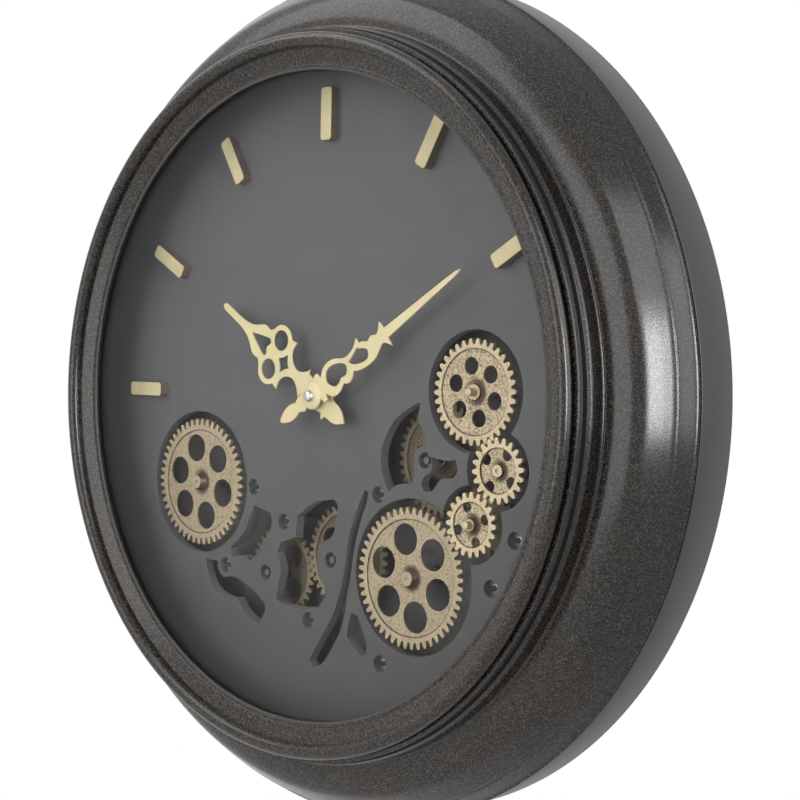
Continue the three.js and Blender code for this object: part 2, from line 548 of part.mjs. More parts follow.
// Power for the wheels: a box for two cells behind the plate, with a hinged door and a slide switch
const POWER = { x: -84, z: 58, halfLength: 29, halfHeight: 17.5, back: -2.6, floor: LEDGE_FRONT + 0.8 };
const SWITCH = { x: POWER.x + 36, halfWidth: 2, halfLength: 2.5, front: -5.6, travel: 3.4 };
const HINGE = { y: -2, z: POWER.z + POWER.halfHeight + 1.9, barrel: 1.3, pin: 0.9, ear: 2.7 };
const CELL_PITCH = 15.2;

function powerBoxGeometry() {
  const { x, z, halfLength, halfHeight, back, floor } = POWER;
  const left = x - halfLength;
  const right = x + halfLength;
  const switchRight = SWITCH.x + 5;
  const body = box(left, switchRight, LEDGE_FRONT, back, z - halfHeight, z + halfHeight);
  const bay = box(left + 1.5, right - 1.5, floor, back + 1, z - halfHeight + 1.5, z + halfHeight - 1.5);
  const slotHalf = SWITCH.halfWidth + 0.4;
  const slotBottom = z - SWITCH.halfLength - 0.5;
  const slotTop = z + SWITCH.halfLength + SWITCH.travel + 0.5;
  const slot = box(SWITCH.x - slotHalf, SWITCH.x + slotHalf, SWITCH.front, back + 1, slotBottom, slotTop);
  let piece = solid(body).subtract(solid(bay)).subtract(solid(slot));
  for (const earLeft of [left, right - HINGE.ear]) {
    const ear = box(earLeft, earLeft + HINGE.ear, -6, -0.6, z + halfHeight - 1, HINGE.z + 1.8);
    piece = piece.add(solid(ear));
  }
  const pinHole = rodAlongX(HINGE.pin + GAP, left - 1, right + 1, HINGE.y, HINGE.z, 10);
  return surface(piece.subtract(solid(pinHole)));
}

function powerDoorGeometry() {
  const { x, z, halfLength, halfHeight } = POWER;
  const inner = halfLength - HINGE.ear - GAP;
  const leaf = box(x - inner, x + inner, HINGE.y - 0.3, HINGE.y + 0.9, z - halfHeight + 0.5, HINGE.z);
  const barrel = rodAlongX(HINGE.barrel, x - inner, x + inner, HINGE.y, HINGE.z, 10);
  const pin = rodAlongX(HINGE.pin, x - halfLength + 0.5, x + halfLength - 0.5, HINGE.y, HINGE.z, 10);
  return joined(leaf, barrel, pin);
}

function addPower() {
  place('gear_battery_box', powerBoxGeometry(), 'black_plastic');
  for (const [i, side] of [1, -1].entries()) {
    const z = POWER.z + (side * CELL_PITCH) / 2;
    place(`gear_battery_${i + 1}`, cellGeometry(POWER.x, POWER.floor + GAP + CELL.radius, z), 'cell_wrap');
  }
  place('gear_battery_door', powerDoorGeometry(), 'black_plastic');
  const lever = box(SWITCH.x - SWITCH.halfWidth, SWITCH.x + SWITCH.halfWidth, SWITCH.front + GAP, -1.4,
    POWER.z - SWITCH.halfLength, POWER.z + SWITCH.halfLength);
  place('gear_switch', lever, 'grey_plastic');
}

// Hanger: a bent strip on the plate's back, with a keyhole for one wall screw
const HANGER = { halfWidth: 22, bottom: 158, top: 188, sheet: 1.5, back: -1.5, foot: 9 };
const KEYHOLE = { z: 168, radius: 5, slot: 2.5, slotTop: 179 };

function hangerGeometry() {
  const { halfWidth, bottom, top, sheet, back, foot } = HANGER;
  const bridge = box(-halfWidth, halfWidth, back - sheet, back, bottom, top);
  const hole = rod(KEYHOLE.radius, back - 2 * sheet, back + 1, 0, KEYHOLE.z, 8);
  const slot = box(-KEYHOLE.slot, KEYHOLE.slot, back - 2 * sheet, back + 1, KEYHOLE.z, KEYHOLE.slotTop);
  let piece = solid(bridge);
  for (const side of [-1, 1]) {
    const inner = side * (halfWidth - sheet);
    const outer = side * halfWidth;
    const toe = side * (halfWidth + foot);
    const leg = box(Math.min(outer, inner), Math.max(outer, inner), LEDGE_FRONT, back, bottom, top);
    const sole = box(Math.min(inner, toe), Math.max(inner, toe), LEDGE_FRONT, LEDGE_FRONT + sheet, bottom, top);
    piece = piece.add(solid(leg)).add(solid(sole));
  }
  return surface(piece.subtract(solid(hole)).subtract(solid(slot)));
}

addCase();
addWheels();
addDial();
addHands();
addMovement();
place('mechanism_plate', mechanismPlateGeometry(), 'black_plastic');
addPower();
place('hanger_plate', hangerGeometry(), 'steel');

export default clock;
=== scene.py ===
import math

import bmesh
import bpy
from bpy.props import FloatProperty, FloatVectorProperty, IntProperty, PointerProperty
from mathutils import Matrix, Vector
from mathutils.geometry import interpolate_bezier


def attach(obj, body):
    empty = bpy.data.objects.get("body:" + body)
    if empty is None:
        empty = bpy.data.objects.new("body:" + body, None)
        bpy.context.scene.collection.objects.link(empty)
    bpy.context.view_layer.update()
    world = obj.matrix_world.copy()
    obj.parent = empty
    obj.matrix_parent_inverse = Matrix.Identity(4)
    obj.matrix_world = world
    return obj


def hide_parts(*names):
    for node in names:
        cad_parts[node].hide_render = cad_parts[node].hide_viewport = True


bl_info = {
    "name": "Gear Wall Clock",
    "version": (1, 0, 0),
    "blender": (4, 5, 0),
    "location": "View3D > Sidebar > Gear Clock",
    "description": "Builds the looks of a round wall clock with moving wheels around its packed frame",
    "category": "Object",
}

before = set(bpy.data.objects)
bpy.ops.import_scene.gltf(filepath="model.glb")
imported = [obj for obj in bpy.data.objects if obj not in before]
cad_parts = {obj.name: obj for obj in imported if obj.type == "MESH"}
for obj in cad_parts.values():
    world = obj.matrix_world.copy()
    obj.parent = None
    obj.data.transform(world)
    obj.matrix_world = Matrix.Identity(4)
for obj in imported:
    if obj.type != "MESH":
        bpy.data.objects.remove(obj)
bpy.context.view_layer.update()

# Lengths below are millimetres and turn into metres as a mesh is made. -Y faces the room.
MM = 0.001
MERGE = 1e-6
CORNER_STEPS = 5

# The least inset with which a region of faces moves straight in or out
STRAIGHT = 0.02

# Depths along Y, from the wall plane towards the room
GAP = 0.3
BAND_FRONT = -27.4
SEAM_FRONT = -28.6
LEDGE_FRONT = -18
PLATE_FRONT = -20.5
HIDDEN_FRONT = -28.5
WHEEL_THICK = 2.2
PINION_THICK = 3
DIAL_BACK = -36.1
DIAL_FRONT = -41.6
RAISED_WHEEL_FRONT = DIAL_FRONT - 1.5
MARKER_FRONT = -47.1
HOUR_FRONT = -50.6
MINUTE_FRONT = -54
HAND_THICK = 0.9
CAP_FRONT = -58.1
LIP_FRONT = -69.6
LIP_BACK = -68.7
GLASS_FRONT = -67.2
GLASS_BACK = -64.8
RETAINER_BACK = -62.8

# Radii about the clock's axis
CASE_RADIUS = 230
PLATE_RADIUS = 226.9
DIAL_RADIUS = 213
LENS_RADIUS = 187.5
LIP_RADIUS = 172.4
ROLL = {"r": 187.4, "y": -74.7, "radius": 4}
COVE = {"r": 197.5, "y": -57.6, "radius": 1.6}
COVE_BACK = {"centre": (202.8, -62.6), "radius": 11}
NECK_INNER = 190.5

# The camera, as the photograph was taken: turned round and above the clock's axis, degrees
CAMERA_YAW = 43.381
CAMERA_PITCH = 1.422
CAMERA_ROLL = 1.113
CAMERA_SHIFT_RIGHT = 58.1
CAMERA_SHIFT_UP = -2.1
CAMERA_DISTANCE = 890.4
FOCAL_PIXELS = 1670.6
IMAGE_PIXELS = 800
SENSOR = 36


class ClockSizes(bpy.types.PropertyGroup):
    """Sizes of the fine detail that is added to the frame's pieces"""

    ring_steps: IntProperty(
        name="Ring steps", description="Steps round the turned case rings", default=256, min=48, max=512)
    hole_steps: IntProperty(
        name="Hole steps", description="Steps round a small hole or boss", default=32, min=12, max=96)
    web_depth: FloatProperty(
        name="Web depth", description="How far a wheel's web lies behind its rim, in millimetres",
        default=0.6, min=0.1, max=1)
    grain: FloatProperty(
        name="Grain", description="Size of one fleck in the case's paint, in millimetres",
        default=0.48, min=0.3, max=3)


class ClockColours(bpy.types.PropertyGroup):
    """Colours of the clock's finishes"""

    gunmetal: FloatVectorProperty(
        name="Gunmetal", description="Dark paint of the case", subtype="COLOR",
        default=(0.0075, 0.006, 0.005))
    bronze: FloatVectorProperty(
        name="Bronze tint", description="Brown that clouds the dark paint", subtype="COLOR",
        default=(0.013, 0.008, 0.005))
    # Light flecks, whose colour also paints the highlight on the lip's inner edge
    fleck_and_sheen: FloatVectorProperty(
        name="Fleck", description="Light metal flecks in the dark paint", subtype="COLOR",
        default=(0.13, 0.116, 0.102))
    band: FloatVectorProperty(
        name="Side band", description="Satin grey of the side band", subtype="COLOR",
        default=(0.022, 0.021, 0.022))
    dial: FloatVectorProperty(
        name="Dial", description="Satin grey of the dial", subtype="COLOR", default=(0.078, 0.078, 0.08))
    plate: FloatVectorProperty(
        name="Plate", description="Dark plate behind the dial", subtype="COLOR",
        default=(0.03, 0.028, 0.028))
    brass: FloatVectorProperty(
        name="Antique brass", description="Creamy brass of the front wheels", subtype="COLOR",
        default=(0.48, 0.395, 0.255))
    # Brown of the brass's specks and patina, and also of the painted shade and painted shadow on the
    # wheels
    patina_and_shade: FloatVectorProperty(
        name="Patina", description="Brown in the recesses of the brass", subtype="COLOR",
        default=(0.075, 0.05, 0.03))
    gold: FloatVectorProperty(
        name="Pale gold", description="Hands and hour bars", subtype="COLOR", default=(0.66, 0.575, 0.33))
    steel: FloatVectorProperty(
        name="Steel", description="Screws, pins and cap", subtype="COLOR", default=(0.8, 0.79, 0.77))


class ClockLights(bpy.types.PropertyGroup):
    """Levels of the studio's lamps"""

    strip: FloatProperty(
        name="Strip light", description="Upright softbox on the right, for the main highlight, in watts",
        default=11, min=0)
    shoulder: FloatProperty(
        name="Shoulder light", description="Softbox above the strip, for the case's upper right, in watts",
        default=4.5, min=0)
    rim: FloatProperty(
        name="Rim light", description="Softbox behind the clock on the right, in watts", default=9, min=0)
    top: FloatProperty(
        name="Top light", description="Softbox high on the left, in watts", default=10, min=0)
    front: FloatProperty(
        name="Front light", description="Large softbox in front, in watts", default=17, min=0)
    surround: FloatProperty(
        name="Surround", description="Strength of the world on matt surfaces", default=0.32, min=0)


# Outlines and profiles, as lists of pairs in millimetres
def polar(radius, degrees, centre=(0, 0)):
    angle = math.radians(degrees)
    return (centre[0] + radius * math.cos(angle), centre[1] + radius * math.sin(angle))


def arc(centre, radius, first, last, steps):
    return [polar(radius, first + (last - first) * i / steps, centre) for i in range(steps + 1)]


def circle(radius, centre=(0, 0), steps=32):
    return arc(centre, radius, 0, 360, steps)[:-1]


def round_box(x0, x1, z0, z1, corner):
    """A rectangle with rounded corners"""
    points = []
    for x, z, first in ((x1 - corner, z1 - corner, 0), (x0 + corner, z1 - corner, 90),
                        (x0 + corner, z0 + corner, 180), (x1 - corner, z0 + corner, 270)):
        points += arc((x, z), corner, first, first + 90, CORNER_STEPS)
    return points


def turn_at(before, point, after):
    into = Vector(point) - Vector(before)
    out = Vector(after) - Vector(point)
    return into.angle(out, 0)


def curved(points, closed=True, corner=48, steps=4):
    """A smooth line through the points, which keeps the corners that turn by more than corner degrees"""
    count = len(points)
    knots = [Vector(p) for p in points]
    tangents = []
    for i, knot in enumerate(knots):
        before = knots[i - 1] if closed or i > 0 else knot
        after = knots[(i + 1) % count] if closed or i < count - 1 else knot
        sharp = before == knot or after == knot or turn_at(before, knot, after) > math.radians(corner)
        tangents.append(None if sharp else (after - before).normalized())
    line = []
    for i in range(count if closed else count - 1):
        a, b = knots[i], knots[(i + 1) % count]
        reach = (b - a).length / 3
        leave = a + reach * (tangents[i] or (b - a).normalized())
        arrive = b - reach * (tangents[(i + 1) % count] or (b - a).normalized())
        line += [tuple(p)[:2] for p in interpolate_bezier(a, leave, arrive, b, steps + 1)[:-1]]
    return line if closed else line + [tuple(knots[-1])]


def eased(points, radius, closed=True, steps=2):
    """The outline with every corner cut back by radius and rounded"""
    count = len(points)
    line = []
    for i, point in enumerate(points):
        if not closed and i in (0, count - 1):
            line.append(point)
            continue
        knot = Vector(point)
        before, after = Vector(points[i - 1]), Vector(points[(i + 1) % count])
        if turn_at(before, knot, after) < math.radians(8):
            line.append(point)
            continue
        start = knot + (before - knot).normalized() * min(radius, (before - knot).length * 0.45)
        end = knot + (after - knot).normalized() * min(radius, (after - knot).length * 0.45)
        for k in range(steps + 1):
            t = k / steps
            line.append(tuple(start * (1 - t) ** 2 + knot * 2 * t * (1 - t) + end * t ** 2))
    return line


# Mesh tools
def spun(profile, closed=True, steps=None):
    """Turns a profile of (radius, y) once round the Y axis"""
    bm = bmesh.new()
    verts = [bm.verts.new((r * MM, y * MM, 0)) for r, y in profile]
    pairs = list(zip(verts, verts[1:]))
    if closed:
        pairs.append((verts[-1], verts[0]))
    edges = [bm.edges.new(pair) for pair in pairs]
    bmesh.ops.spin(bm, geom=verts + edges, cent=(0, 0, 0), axis=(0, 1, 0), angle=2 * math.pi,
                   steps=steps or bpy.context.scene.clock_sizes.ring_steps, use_merge=True)
    return bm


def loop_of(bm, points, y):
    """A closed loop of edges in the plane y"""
    verts = [bm.verts.new((x * MM, y * MM, z * MM)) for x, z in points]
    return [bm.edges.new(pair) for pair in zip(verts, verts[1:] + verts[:1])]


def fill(bm, *loops):
    made = bmesh.ops.triangle_fill(bm, use_beauty=True, edges=[e for loop in loops for e in loop])
    return [f for f in made["geom"] if isinstance(f, bmesh.types.BMFace)]


def face_out(bm):
    """Turns every face's normal outwards"""
    bm.normal_update()
    bmesh.ops.recalc_face_normals(bm, faces=bm.faces[:])


def thicken(bm, near, far):
    """Gives the faces that lie in the plane near a back in the plane far, and returns the back's faces"""
    side = math.copysign(1, near - far)
    bm.normal_update()
    for face in bm.faces:
        if face.normal.y * side < 0:
            face.normal_flip()
    made = bmesh.ops.extrude_face_region(bm, geom=bm.faces[:])["geom"]
    verts = [v for v in made if isinstance(v, bmesh.types.BMVert)]
    bmesh.ops.translate(bm, verts=verts, vec=(0, (far - near) * MM, 0))
    face_out(bm)
    return [f for f in made if isinstance(f, bmesh.types.BMFace)]


def step_in(bm, faces, inwards, outwards):
    """Draws a region of faces in by one length and pushes it out by another"""
    bmesh.ops.inset_region(bm, faces=faces, thickness=inwards * MM, depth=outwards * MM,
                           use_boundary=True, use_even_offset=True)


def ease_rim(bm, faces, size):
    """Rounds the rim of a region of faces, which ends size further out"""
    step_in(bm, faces, 0.3 * size, 0.7 * size)
    step_in(bm, faces, 0.7 * size, 0.3 * size)


def sheet_piece(outline, holes, near, far, ease, ease_far=True):
    """A plate cut to an outline with holes, with eased rims"""
    side = math.copysign(1, near - far)
    bm = bmesh.new()
    loops = [loop_of(bm, points, near - side * ease) for points in [outline, *holes]]
    front = fill(bm, *loops)
    back = thicken(bm, near - side * ease, far + side * (ease if ease_far else 0))
    ease_rim(bm, front, ease)
    if ease_far:
        ease_rim(bm, back, ease)
    return bm


def shift(bm, x=0, y=0, z=0):
    bmesh.ops.translate(bm, verts=bm.verts[:], vec=(x * MM, y * MM, z * MM))


def turn(bm, degrees, axis="Y"):
    rotation = Matrix.Rotation(math.radians(degrees), 3, axis)
    bmesh.ops.rotate(bm, verts=bm.verts[:], cent=(0, 0, 0), matrix=rotation)


def together(*parts):
    """Puts closed shells into one mesh"""
    whole = bmesh.new()
    for part in parts:
        mesh = bpy.data.meshes.new("part")
        part.to_mesh(mesh)
        part.free()
        whole.from_mesh(mesh)
        bpy.data.meshes.remove(mesh)
    return whole


def in_shade(bm, *rings):
    """Gives the second finish to faces in rings of (inner radius, outer radius, front, back)"""
    for face in bm.faces:
        middle = face.calc_center_median() / MM
        radius = math.hypot(middle.x, middle.z)
        if any(inner < radius < outer and front < middle.y < back for inner, outer, front, back in rings):
            face.material_index = 1


def make_piece(bm, name, body, materials, replaces=(), sharp=20):
    """Makes the bmesh a piece of the clock that rides on one of its bodies"""
    bmesh.ops.remove_doubles(bm, verts=bm.verts[:], dist=MERGE)
    face_out(bm)
    mesh = bpy.data.meshes.new(name)
    bm.to_mesh(mesh)
    bm.free()
    mesh.shade_smooth()
    mesh.set_sharp_from_angle(angle=math.radians(sharp))
    for finish in materials:
        mesh.materials.append(finish)
    piece = bpy.data.objects.new(name, mesh)
    bpy.context.scene.collection.objects.link(piece)
    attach(piece, body)
    if replaces:
        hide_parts(*replaces)
    return piece


# Finishes
class Finish:
    """A procedural material on object coordinates"""

    def __init__(self, name, metallic=0.0, roughness=0.5):
        self.material = bpy.data.materials.new(name)
        self.material.use_nodes = True
        self.tree = self.material.node_tree
        self.shader = self.tree.nodes["Principled BSDF"]
        self.shader.inputs["Metallic"].default_value = metallic
        self.shader.inputs["Roughness"].default_value = roughness
        self.coords = self.tree.nodes.new("ShaderNodeTexCoord").outputs["Object"]

    def node(self, kind, inputs=(), **settings):
        made = self.tree.nodes.new(kind)
        for key, value in settings.items():
            setattr(made, key, value)
        for socket, value in dict(inputs).items():
            if isinstance(value, bpy.types.NodeSocket):
                self.tree.links.new(value, made.inputs[socket])
            else:
                made.inputs[socket].default_value = value
        return made

    def noise(self, size, detail=2.0, rough=0.5):
        """Soft noise with features of about size millimetres"""
        inputs = {"Vector": self.coords, "Scale": 1 / (size * MM), "Detail": detail, "Roughness": rough}
        return self.node("ShaderNodeTexNoise", inputs).outputs["Fac"]

    def clouds(self):
        """Soft patches a couple of centimetres wide"""
        return self.spread(self.noise(18, 4), 0.35, 0.65)

    def flecks(self, size):
        """One random level for each cell of about size millimetres"""
        cells = self.node("ShaderNodeTexVoronoi", {"Vector": self.coords, "Scale": 1 / (size * MM)})
        return self.node("ShaderNodeSeparateColor", {"Color": cells.outputs["Color"]}).outputs["Red"]

    def spread(self, value, low, high, to_low=0.0, to_high=1.0):
        """The value mapped from low and high to two other levels, and held within them"""
        return self.node("ShaderNodeMapRange", {"Value": value, "From Min": low, "From Max": high,
                                                "To Min": to_low, "To Max": to_high}).outputs["Result"]

    def mix(self, factor, first, second):
        def padded(colour):
            return colour if isinstance(colour, bpy.types.NodeSocket) else (*colour, 1)
        made = self.node("ShaderNodeMix", data_type="RGBA")
        for socket, value in ((0, factor), (6, padded(first)), (7, padded(second))):
            if isinstance(value, bpy.types.NodeSocket):
                self.tree.links.new(value, made.inputs[socket])
            else:
                made.inputs[socket].default_value = value
        return made.outputs[2]

    def maths(self, operation, first, second=0.0):
        return self.node("ShaderNodeMath", {0: first, 1: second}, operation=operation).outputs[0]

    def vector(self, operation, first, second=(0, 0, 0)):
        return self.node("ShaderNodeVectorMath", {0: first, 1: second}, operation=operation)

    def about(self, x, z):
        """Distance from an axis along Y, in millimetres, and its share that points to +X"""
        offset = self.vector("SUBTRACT", self.coords, (x * MM, 0, z * MM)).outputs[0]
        flat = self.vector("MULTIPLY", offset, (1 / MM, 0, 1 / MM)).outputs[0]
        length = self.vector("LENGTH", flat).outputs["Value"]
        along = self.node("ShaderNodeSeparateXYZ", {0: flat}).outputs["X"]
        return length, self.maths("DIVIDE", along, self.maths("MAXIMUM", length, 0.1))

    def place(self, axis):
        """The coordinate along one axis, in metres"""
        return self.node("ShaderNodeSeparateXYZ", {0: self.coords}).outputs[axis]

    def feed(self, socket, value):
        self.tree.links.new(value, self.shader.inputs[socket])

    def colour(self, value):
        self.feed("Base Color", value)

    def rough(self, size, low, high, detail=2):
        """Roughness from low to high in patches of about size millimetres"""
        self.feed("Roughness", self.spread(self.noise(size, detail), 0.3, 0.7, low, high))

    def bump(self, size, depth, detail=2, strength=0.5):
        """Bumps of about size millimetres whose full height is depth millimetres"""
        inputs = {"Height": self.noise(size, detail), "Distance": depth * MM, "Strength": strength}
        self.feed("Normal", self.node("ShaderNodeBump", inputs).outputs["Normal"])


# Painted highlight on the lip's inner edge: radii and depths over which it fades, and its share
LIP_SHEEN = {"radii": (173.6, 174), "depths": (LIP_FRONT + 0.5, LIP_FRONT + 0.2), "share": 0.5}


def gunmetal():
    """Dark paint with brown clouds and light metal flecks, and a painted highlight on the lip's inner edge
    """
    colours = bpy.context.scene.clock_colours
    grain = bpy.context.scene.clock_sizes.grain
    finish = Finish("hammered_gunmetal")
    clouds = finish.spread(finish.noise(60, 3), 0.4, 0.62)
    paint = finish.mix(clouds, colours.gunmetal, colours.bronze)
    speck = finish.maths("POWER", finish.flecks(grain), 3)
    near_axis = finish.spread(finish.about(0, 0)[0], *LIP_SHEEN["radii"], 1, 0)
    back, front = (depth * MM for depth in LIP_SHEEN["depths"])
    in_front = finish.spread(finish.place("Y"), back, front, 0, LIP_SHEEN["share"])
    # The lip's inner edge takes the fleck colour as a painted highlight
    lip_highlight = finish.maths("MULTIPLY", near_axis, in_front)
    finish.colour(finish.mix(finish.maths("MAXIMUM", speck, lip_highlight), paint, colours.fleck_and_sheen))
    finish.rough(grain * 2, 0.18, 0.25, detail=1)
    finish.bump(grain * 1.6, 0.012)
    finish.shader.inputs["Specular IOR Level"].default_value = 0.35
    return finish.material


def plain_finish(name, colour, metallic, roughness, grain=0.5, depth=0.02, shade=0.12, specular=0.5):
    """A smooth finish with a fine grain and slight clouds in its colour"""
    finish = Finish(name, metallic)
    finish.shader.inputs["Specular IOR Level"].default_value = specular
    dark = tuple(c * (1 - shade) for c in colour)
    light = tuple(min(1, c * (1 + shade)) for c in colour)
    finish.colour(finish.mix(finish.clouds(), dark, light))
    finish.rough(grain, roughness - 0.05, roughness + 0.05)
    finish.bump(grain, depth)
    return finish.material


# Painted light: how much paler than its own colour the dial is on its openings' walls, and the plate on
# its front, where both lie in shade
WALL_LIGHT_GAIN = 1.7
PLATE_LIGHT_GAIN = 2.8


def moulded_plate():
    """Black moulding whose front, seen through the dial's openings, is a paler grey: painted light where
    it lies in shade
    """
    plate = bpy.context.scene.clock_colours.plate
    finish = Finish("plate_black", roughness=0.6)
    in_front = finish.spread(finish.place("Y"), (PLATE_FRONT + 1) * MM, (PLATE_FRONT + 0.2) * MM)
    finish.colour(finish.mix(in_front, plate, tuple(c * PLATE_LIGHT_GAIN for c in plate)))
    finish.bump(0.8, 0.02)
    return finish.material


def satin_dial():
    """Satin grey that is darker and warmer towards 6 o'clock, and paler on the openings' walls as painted
    light in their shade
    """
    dial = bpy.context.scene.clock_colours.dial
    finish = Finish("satin_dial")
    low = finish.spread(finish.place("Z"), -DIAL_RADIUS * MM, 0, 1, 0)
    wall = finish.spread(finish.place("Y"), (DIAL_FRONT + 0.3) * MM, (DIAL_FRONT + 0.6) * MM)
    cloudy = finish.mix(finish.clouds(), tuple(c * 0.95 for c in dial), tuple(c * 1.05 for c in dial))
    face = finish.mix(low, cloudy, (dial[0] * 0.64, dial[1] * 0.6, dial[2] * 0.55))
    finish.colour(finish.mix(wall, face, tuple(c * WALL_LIGHT_GAIN for c in dial)))
    finish.rough(0.6, 0.5, 0.6)
    finish.bump(0.6, 0.015)
    return finish.material


BRASS_METALLIC = 0.55


def antique_brass(finish, brass, specks):
    """Clouded brass with dark specks, of which there are more as specks rises"""
    worn = finish.mix(finish.spread(finish.noise(5, 3), 0.35, 0.7), tuple(c * 0.88 for c in brass), brass)
    level = finish.maths("ADD", finish.noise(0.9, 3, 0.8), specks)
    return finish.mix(finish.spread(level, 0.56, 0.74), worn, bpy.context.scene.clock_colours.patina_and_shade)


def brass_surface(finish):
    """The grain that all the brass has"""
    finish.rough(0.9, 0.36, 0.55)
    finish.bump(0.8, 0.04, detail=3, strength=0.6)
    return finish.material


def aged_brass():
    """Brass painted darker as shade, for the pinion that runs behind the dial"""
    finish = Finish("aged_brass", BRASS_METALLIC)
    brass = tuple(c * 0.55 for c in bpy.context.scene.clock_colours.brass)
    finish.colour(antique_brass(finish, brass, 0.05))
    return brass_surface(finish)


def wheel_brass(name):
    """One wheel's brass: clean rim and hub face, speckled web, dirt with painted shade in the step's
    corner, and a painted shadow round the hub that is darker to its right
    """
    wheel = WHEELS[name]
    colours = bpy.context.scene.clock_colours
    finish = Finish(f"brass_{name}", BRASS_METALLIC)
    radius, to_right = finish.about(wheel["x"], wheel["z"])
    step, dirt_and_shadow, face = wheel["step"], wheel["dirt_and_shadow"], wheel["hub"][0]
    on_web = finish.maths("MULTIPLY", finish.spread(radius, step - 0.05, step + 0.05, 1, 0),
                          finish.spread(radius, face - 0.3, face + 0.1))
    specks = finish.maths("ADD", finish.maths("MULTIPLY", on_web, wheel["specks"]), RIM_SPECKS)
    brass = antique_brass(finish, tuple(c * wheel["tone"] for c in colours.brass), specks)
    # Painted shade with some dirt in the corner at the rim's step, and a painted shadow round the hub that
    # darkens towards +X
    corner = finish.spread(radius, step - 1, step - 0.3)
    crescent = finish.maths("MULTIPLY", finish.spread(radius, dirt_and_shadow - 0.3, dirt_and_shadow + 2.4, 1, 0),
                            finish.spread(to_right, -1, 1, 0.4, 1.3))
    grime_and_shade = finish.maths("MAXIMUM", finish.maths("MULTIPLY", corner, 0.85), crescent)
    fray = finish.spread(finish.noise(1.2, 3), 0, 1, -0.35, 0.35)
    ragged = finish.spread(finish.maths("ADD", grime_and_shade, fray), 0.1, 0.9)
    finish.colour(finish.mix(finish.maths("MULTIPLY", ragged, on_web), brass, colours.patina_and_shade))
    return brass_surface(finish)


def lens_glass():
    """Clear glass with faint smears"""
    finish = Finish("lens_glass")
    finish.shader.inputs["Transmission Weight"].default_value = 1
    finish.shader.inputs["IOR"].default_value = 1.18
    finish.feed("Roughness", finish.spread(finish.noise(40, 2), 0.4, 0.6, 0.01, 0.04))
    return finish.material


FINISHES = {}


def finish_named(name):
    """Makes each finish once, when a piece first asks for it"""
    colours = bpy.context.scene.clock_colours
    makers = {
        "gunmetal": gunmetal,
        "band": lambda: plain_finish("satin_band", tuple(colours.band), 0.0, 0.4, grain=0.35),
        "dial": satin_dial,
        "plate": moulded_plate,
        "aged_brass": aged_brass,
        "gold": lambda: plain_finish("pale_gold", tuple(colours.gold), 0.3, 0.45, grain=0.4, shade=0.05),
        "bar_gold": lambda: plain_finish("bar_gold", tuple(c * 0.84 for c in colours.gold), 0.3, 0.5,
                                         grain=0.4),
        "gold_side": lambda: plain_finish("gold_side", (0.19, 0.15, 0.1), 0.4, 0.5, grain=0.4),
        "steel": lambda: plain_finish("bright_steel", tuple(colours.steel), 1.0, 0.24, grain=0.3),
        "pin_brass": lambda: plain_finish("pin_brass", (0.62, 0.54, 0.35), 0.8, 0.32, grain=0.3),
        "pin_dull": lambda: plain_finish("pin_dull", (0.12, 0.11, 0.1), 0.6, 0.35, grain=0.3),
        "screw": lambda: plain_finish("screw_steel", (0.62, 0.62, 0.62), 0.5, 0.25, grain=0.3),
        "glass": lens_glass,
        "shade": lambda: plain_finish("shaded_gap", (0.01, 0.009, 0.009), 0.0, 0.8, specular=0.1),
        "rubber": lambda: plain_finish("black_rubber", (0.008, 0.008, 0.008), 0.0, 0.7),
        "black": lambda: plain_finish("moulded_black", (0.02, 0.02, 0.021), 0.0, 0.5, grain=0.9,
                                      depth=0.04),
        "grey": lambda: plain_finish("moulded_grey", (0.11, 0.11, 0.115), 0.0, 0.5, grain=0.9, depth=0.03),
        "sleeve": lambda: plain_finish("cell_sleeve", (0.05, 0.085, 0.06), 0.1, 0.35, grain=0.8),
        "sleeve_band": lambda: plain_finish("cell_band", (0.55, 0.33, 0.12), 0.8, 0.3, grain=0.8),
        "zinc": lambda: plain_finish("zinc_sheet", (0.55, 0.56, 0.57), 0.9, 0.38, grain=1.5, shade=0.2),
    }
    if name not in FINISHES:
        FINISHES[name] = makers[name]() if name in makers else wheel_brass(name)
    return FINISHES[name]


def finishes(*names):
    return [finish_named(name) for name in names]


# Profiles of the case, as (radius, y)
def bezel_profile():
    """Lip, slope and roll of the bezel, then its skirt behind"""
    roll = arc((ROLL["r"], ROLL["y"]), ROLL["radius"], 180, 372, 20)
    groove = [(175.2, LIP_FRONT - 0.05), (175.5, LIP_FRONT + 0.2), (175.8, LIP_FRONT - 0.15)]
    lip = [(LIP_RADIUS, LIP_BACK), (LIP_RADIUS, LIP_FRONT), *groove, (183.4, -72.75)]
    lip = eased(lip, 0.45, closed=False, steps=3)
    skirt = [(NECK_INNER - GAP, -74.0), (NECK_INNER - GAP, RETAINER_BACK),
             (LENS_RADIUS + GAP, RETAINER_BACK), (LENS_RADIUS + GAP, LIP_BACK)]
    return lip + roll + skirt


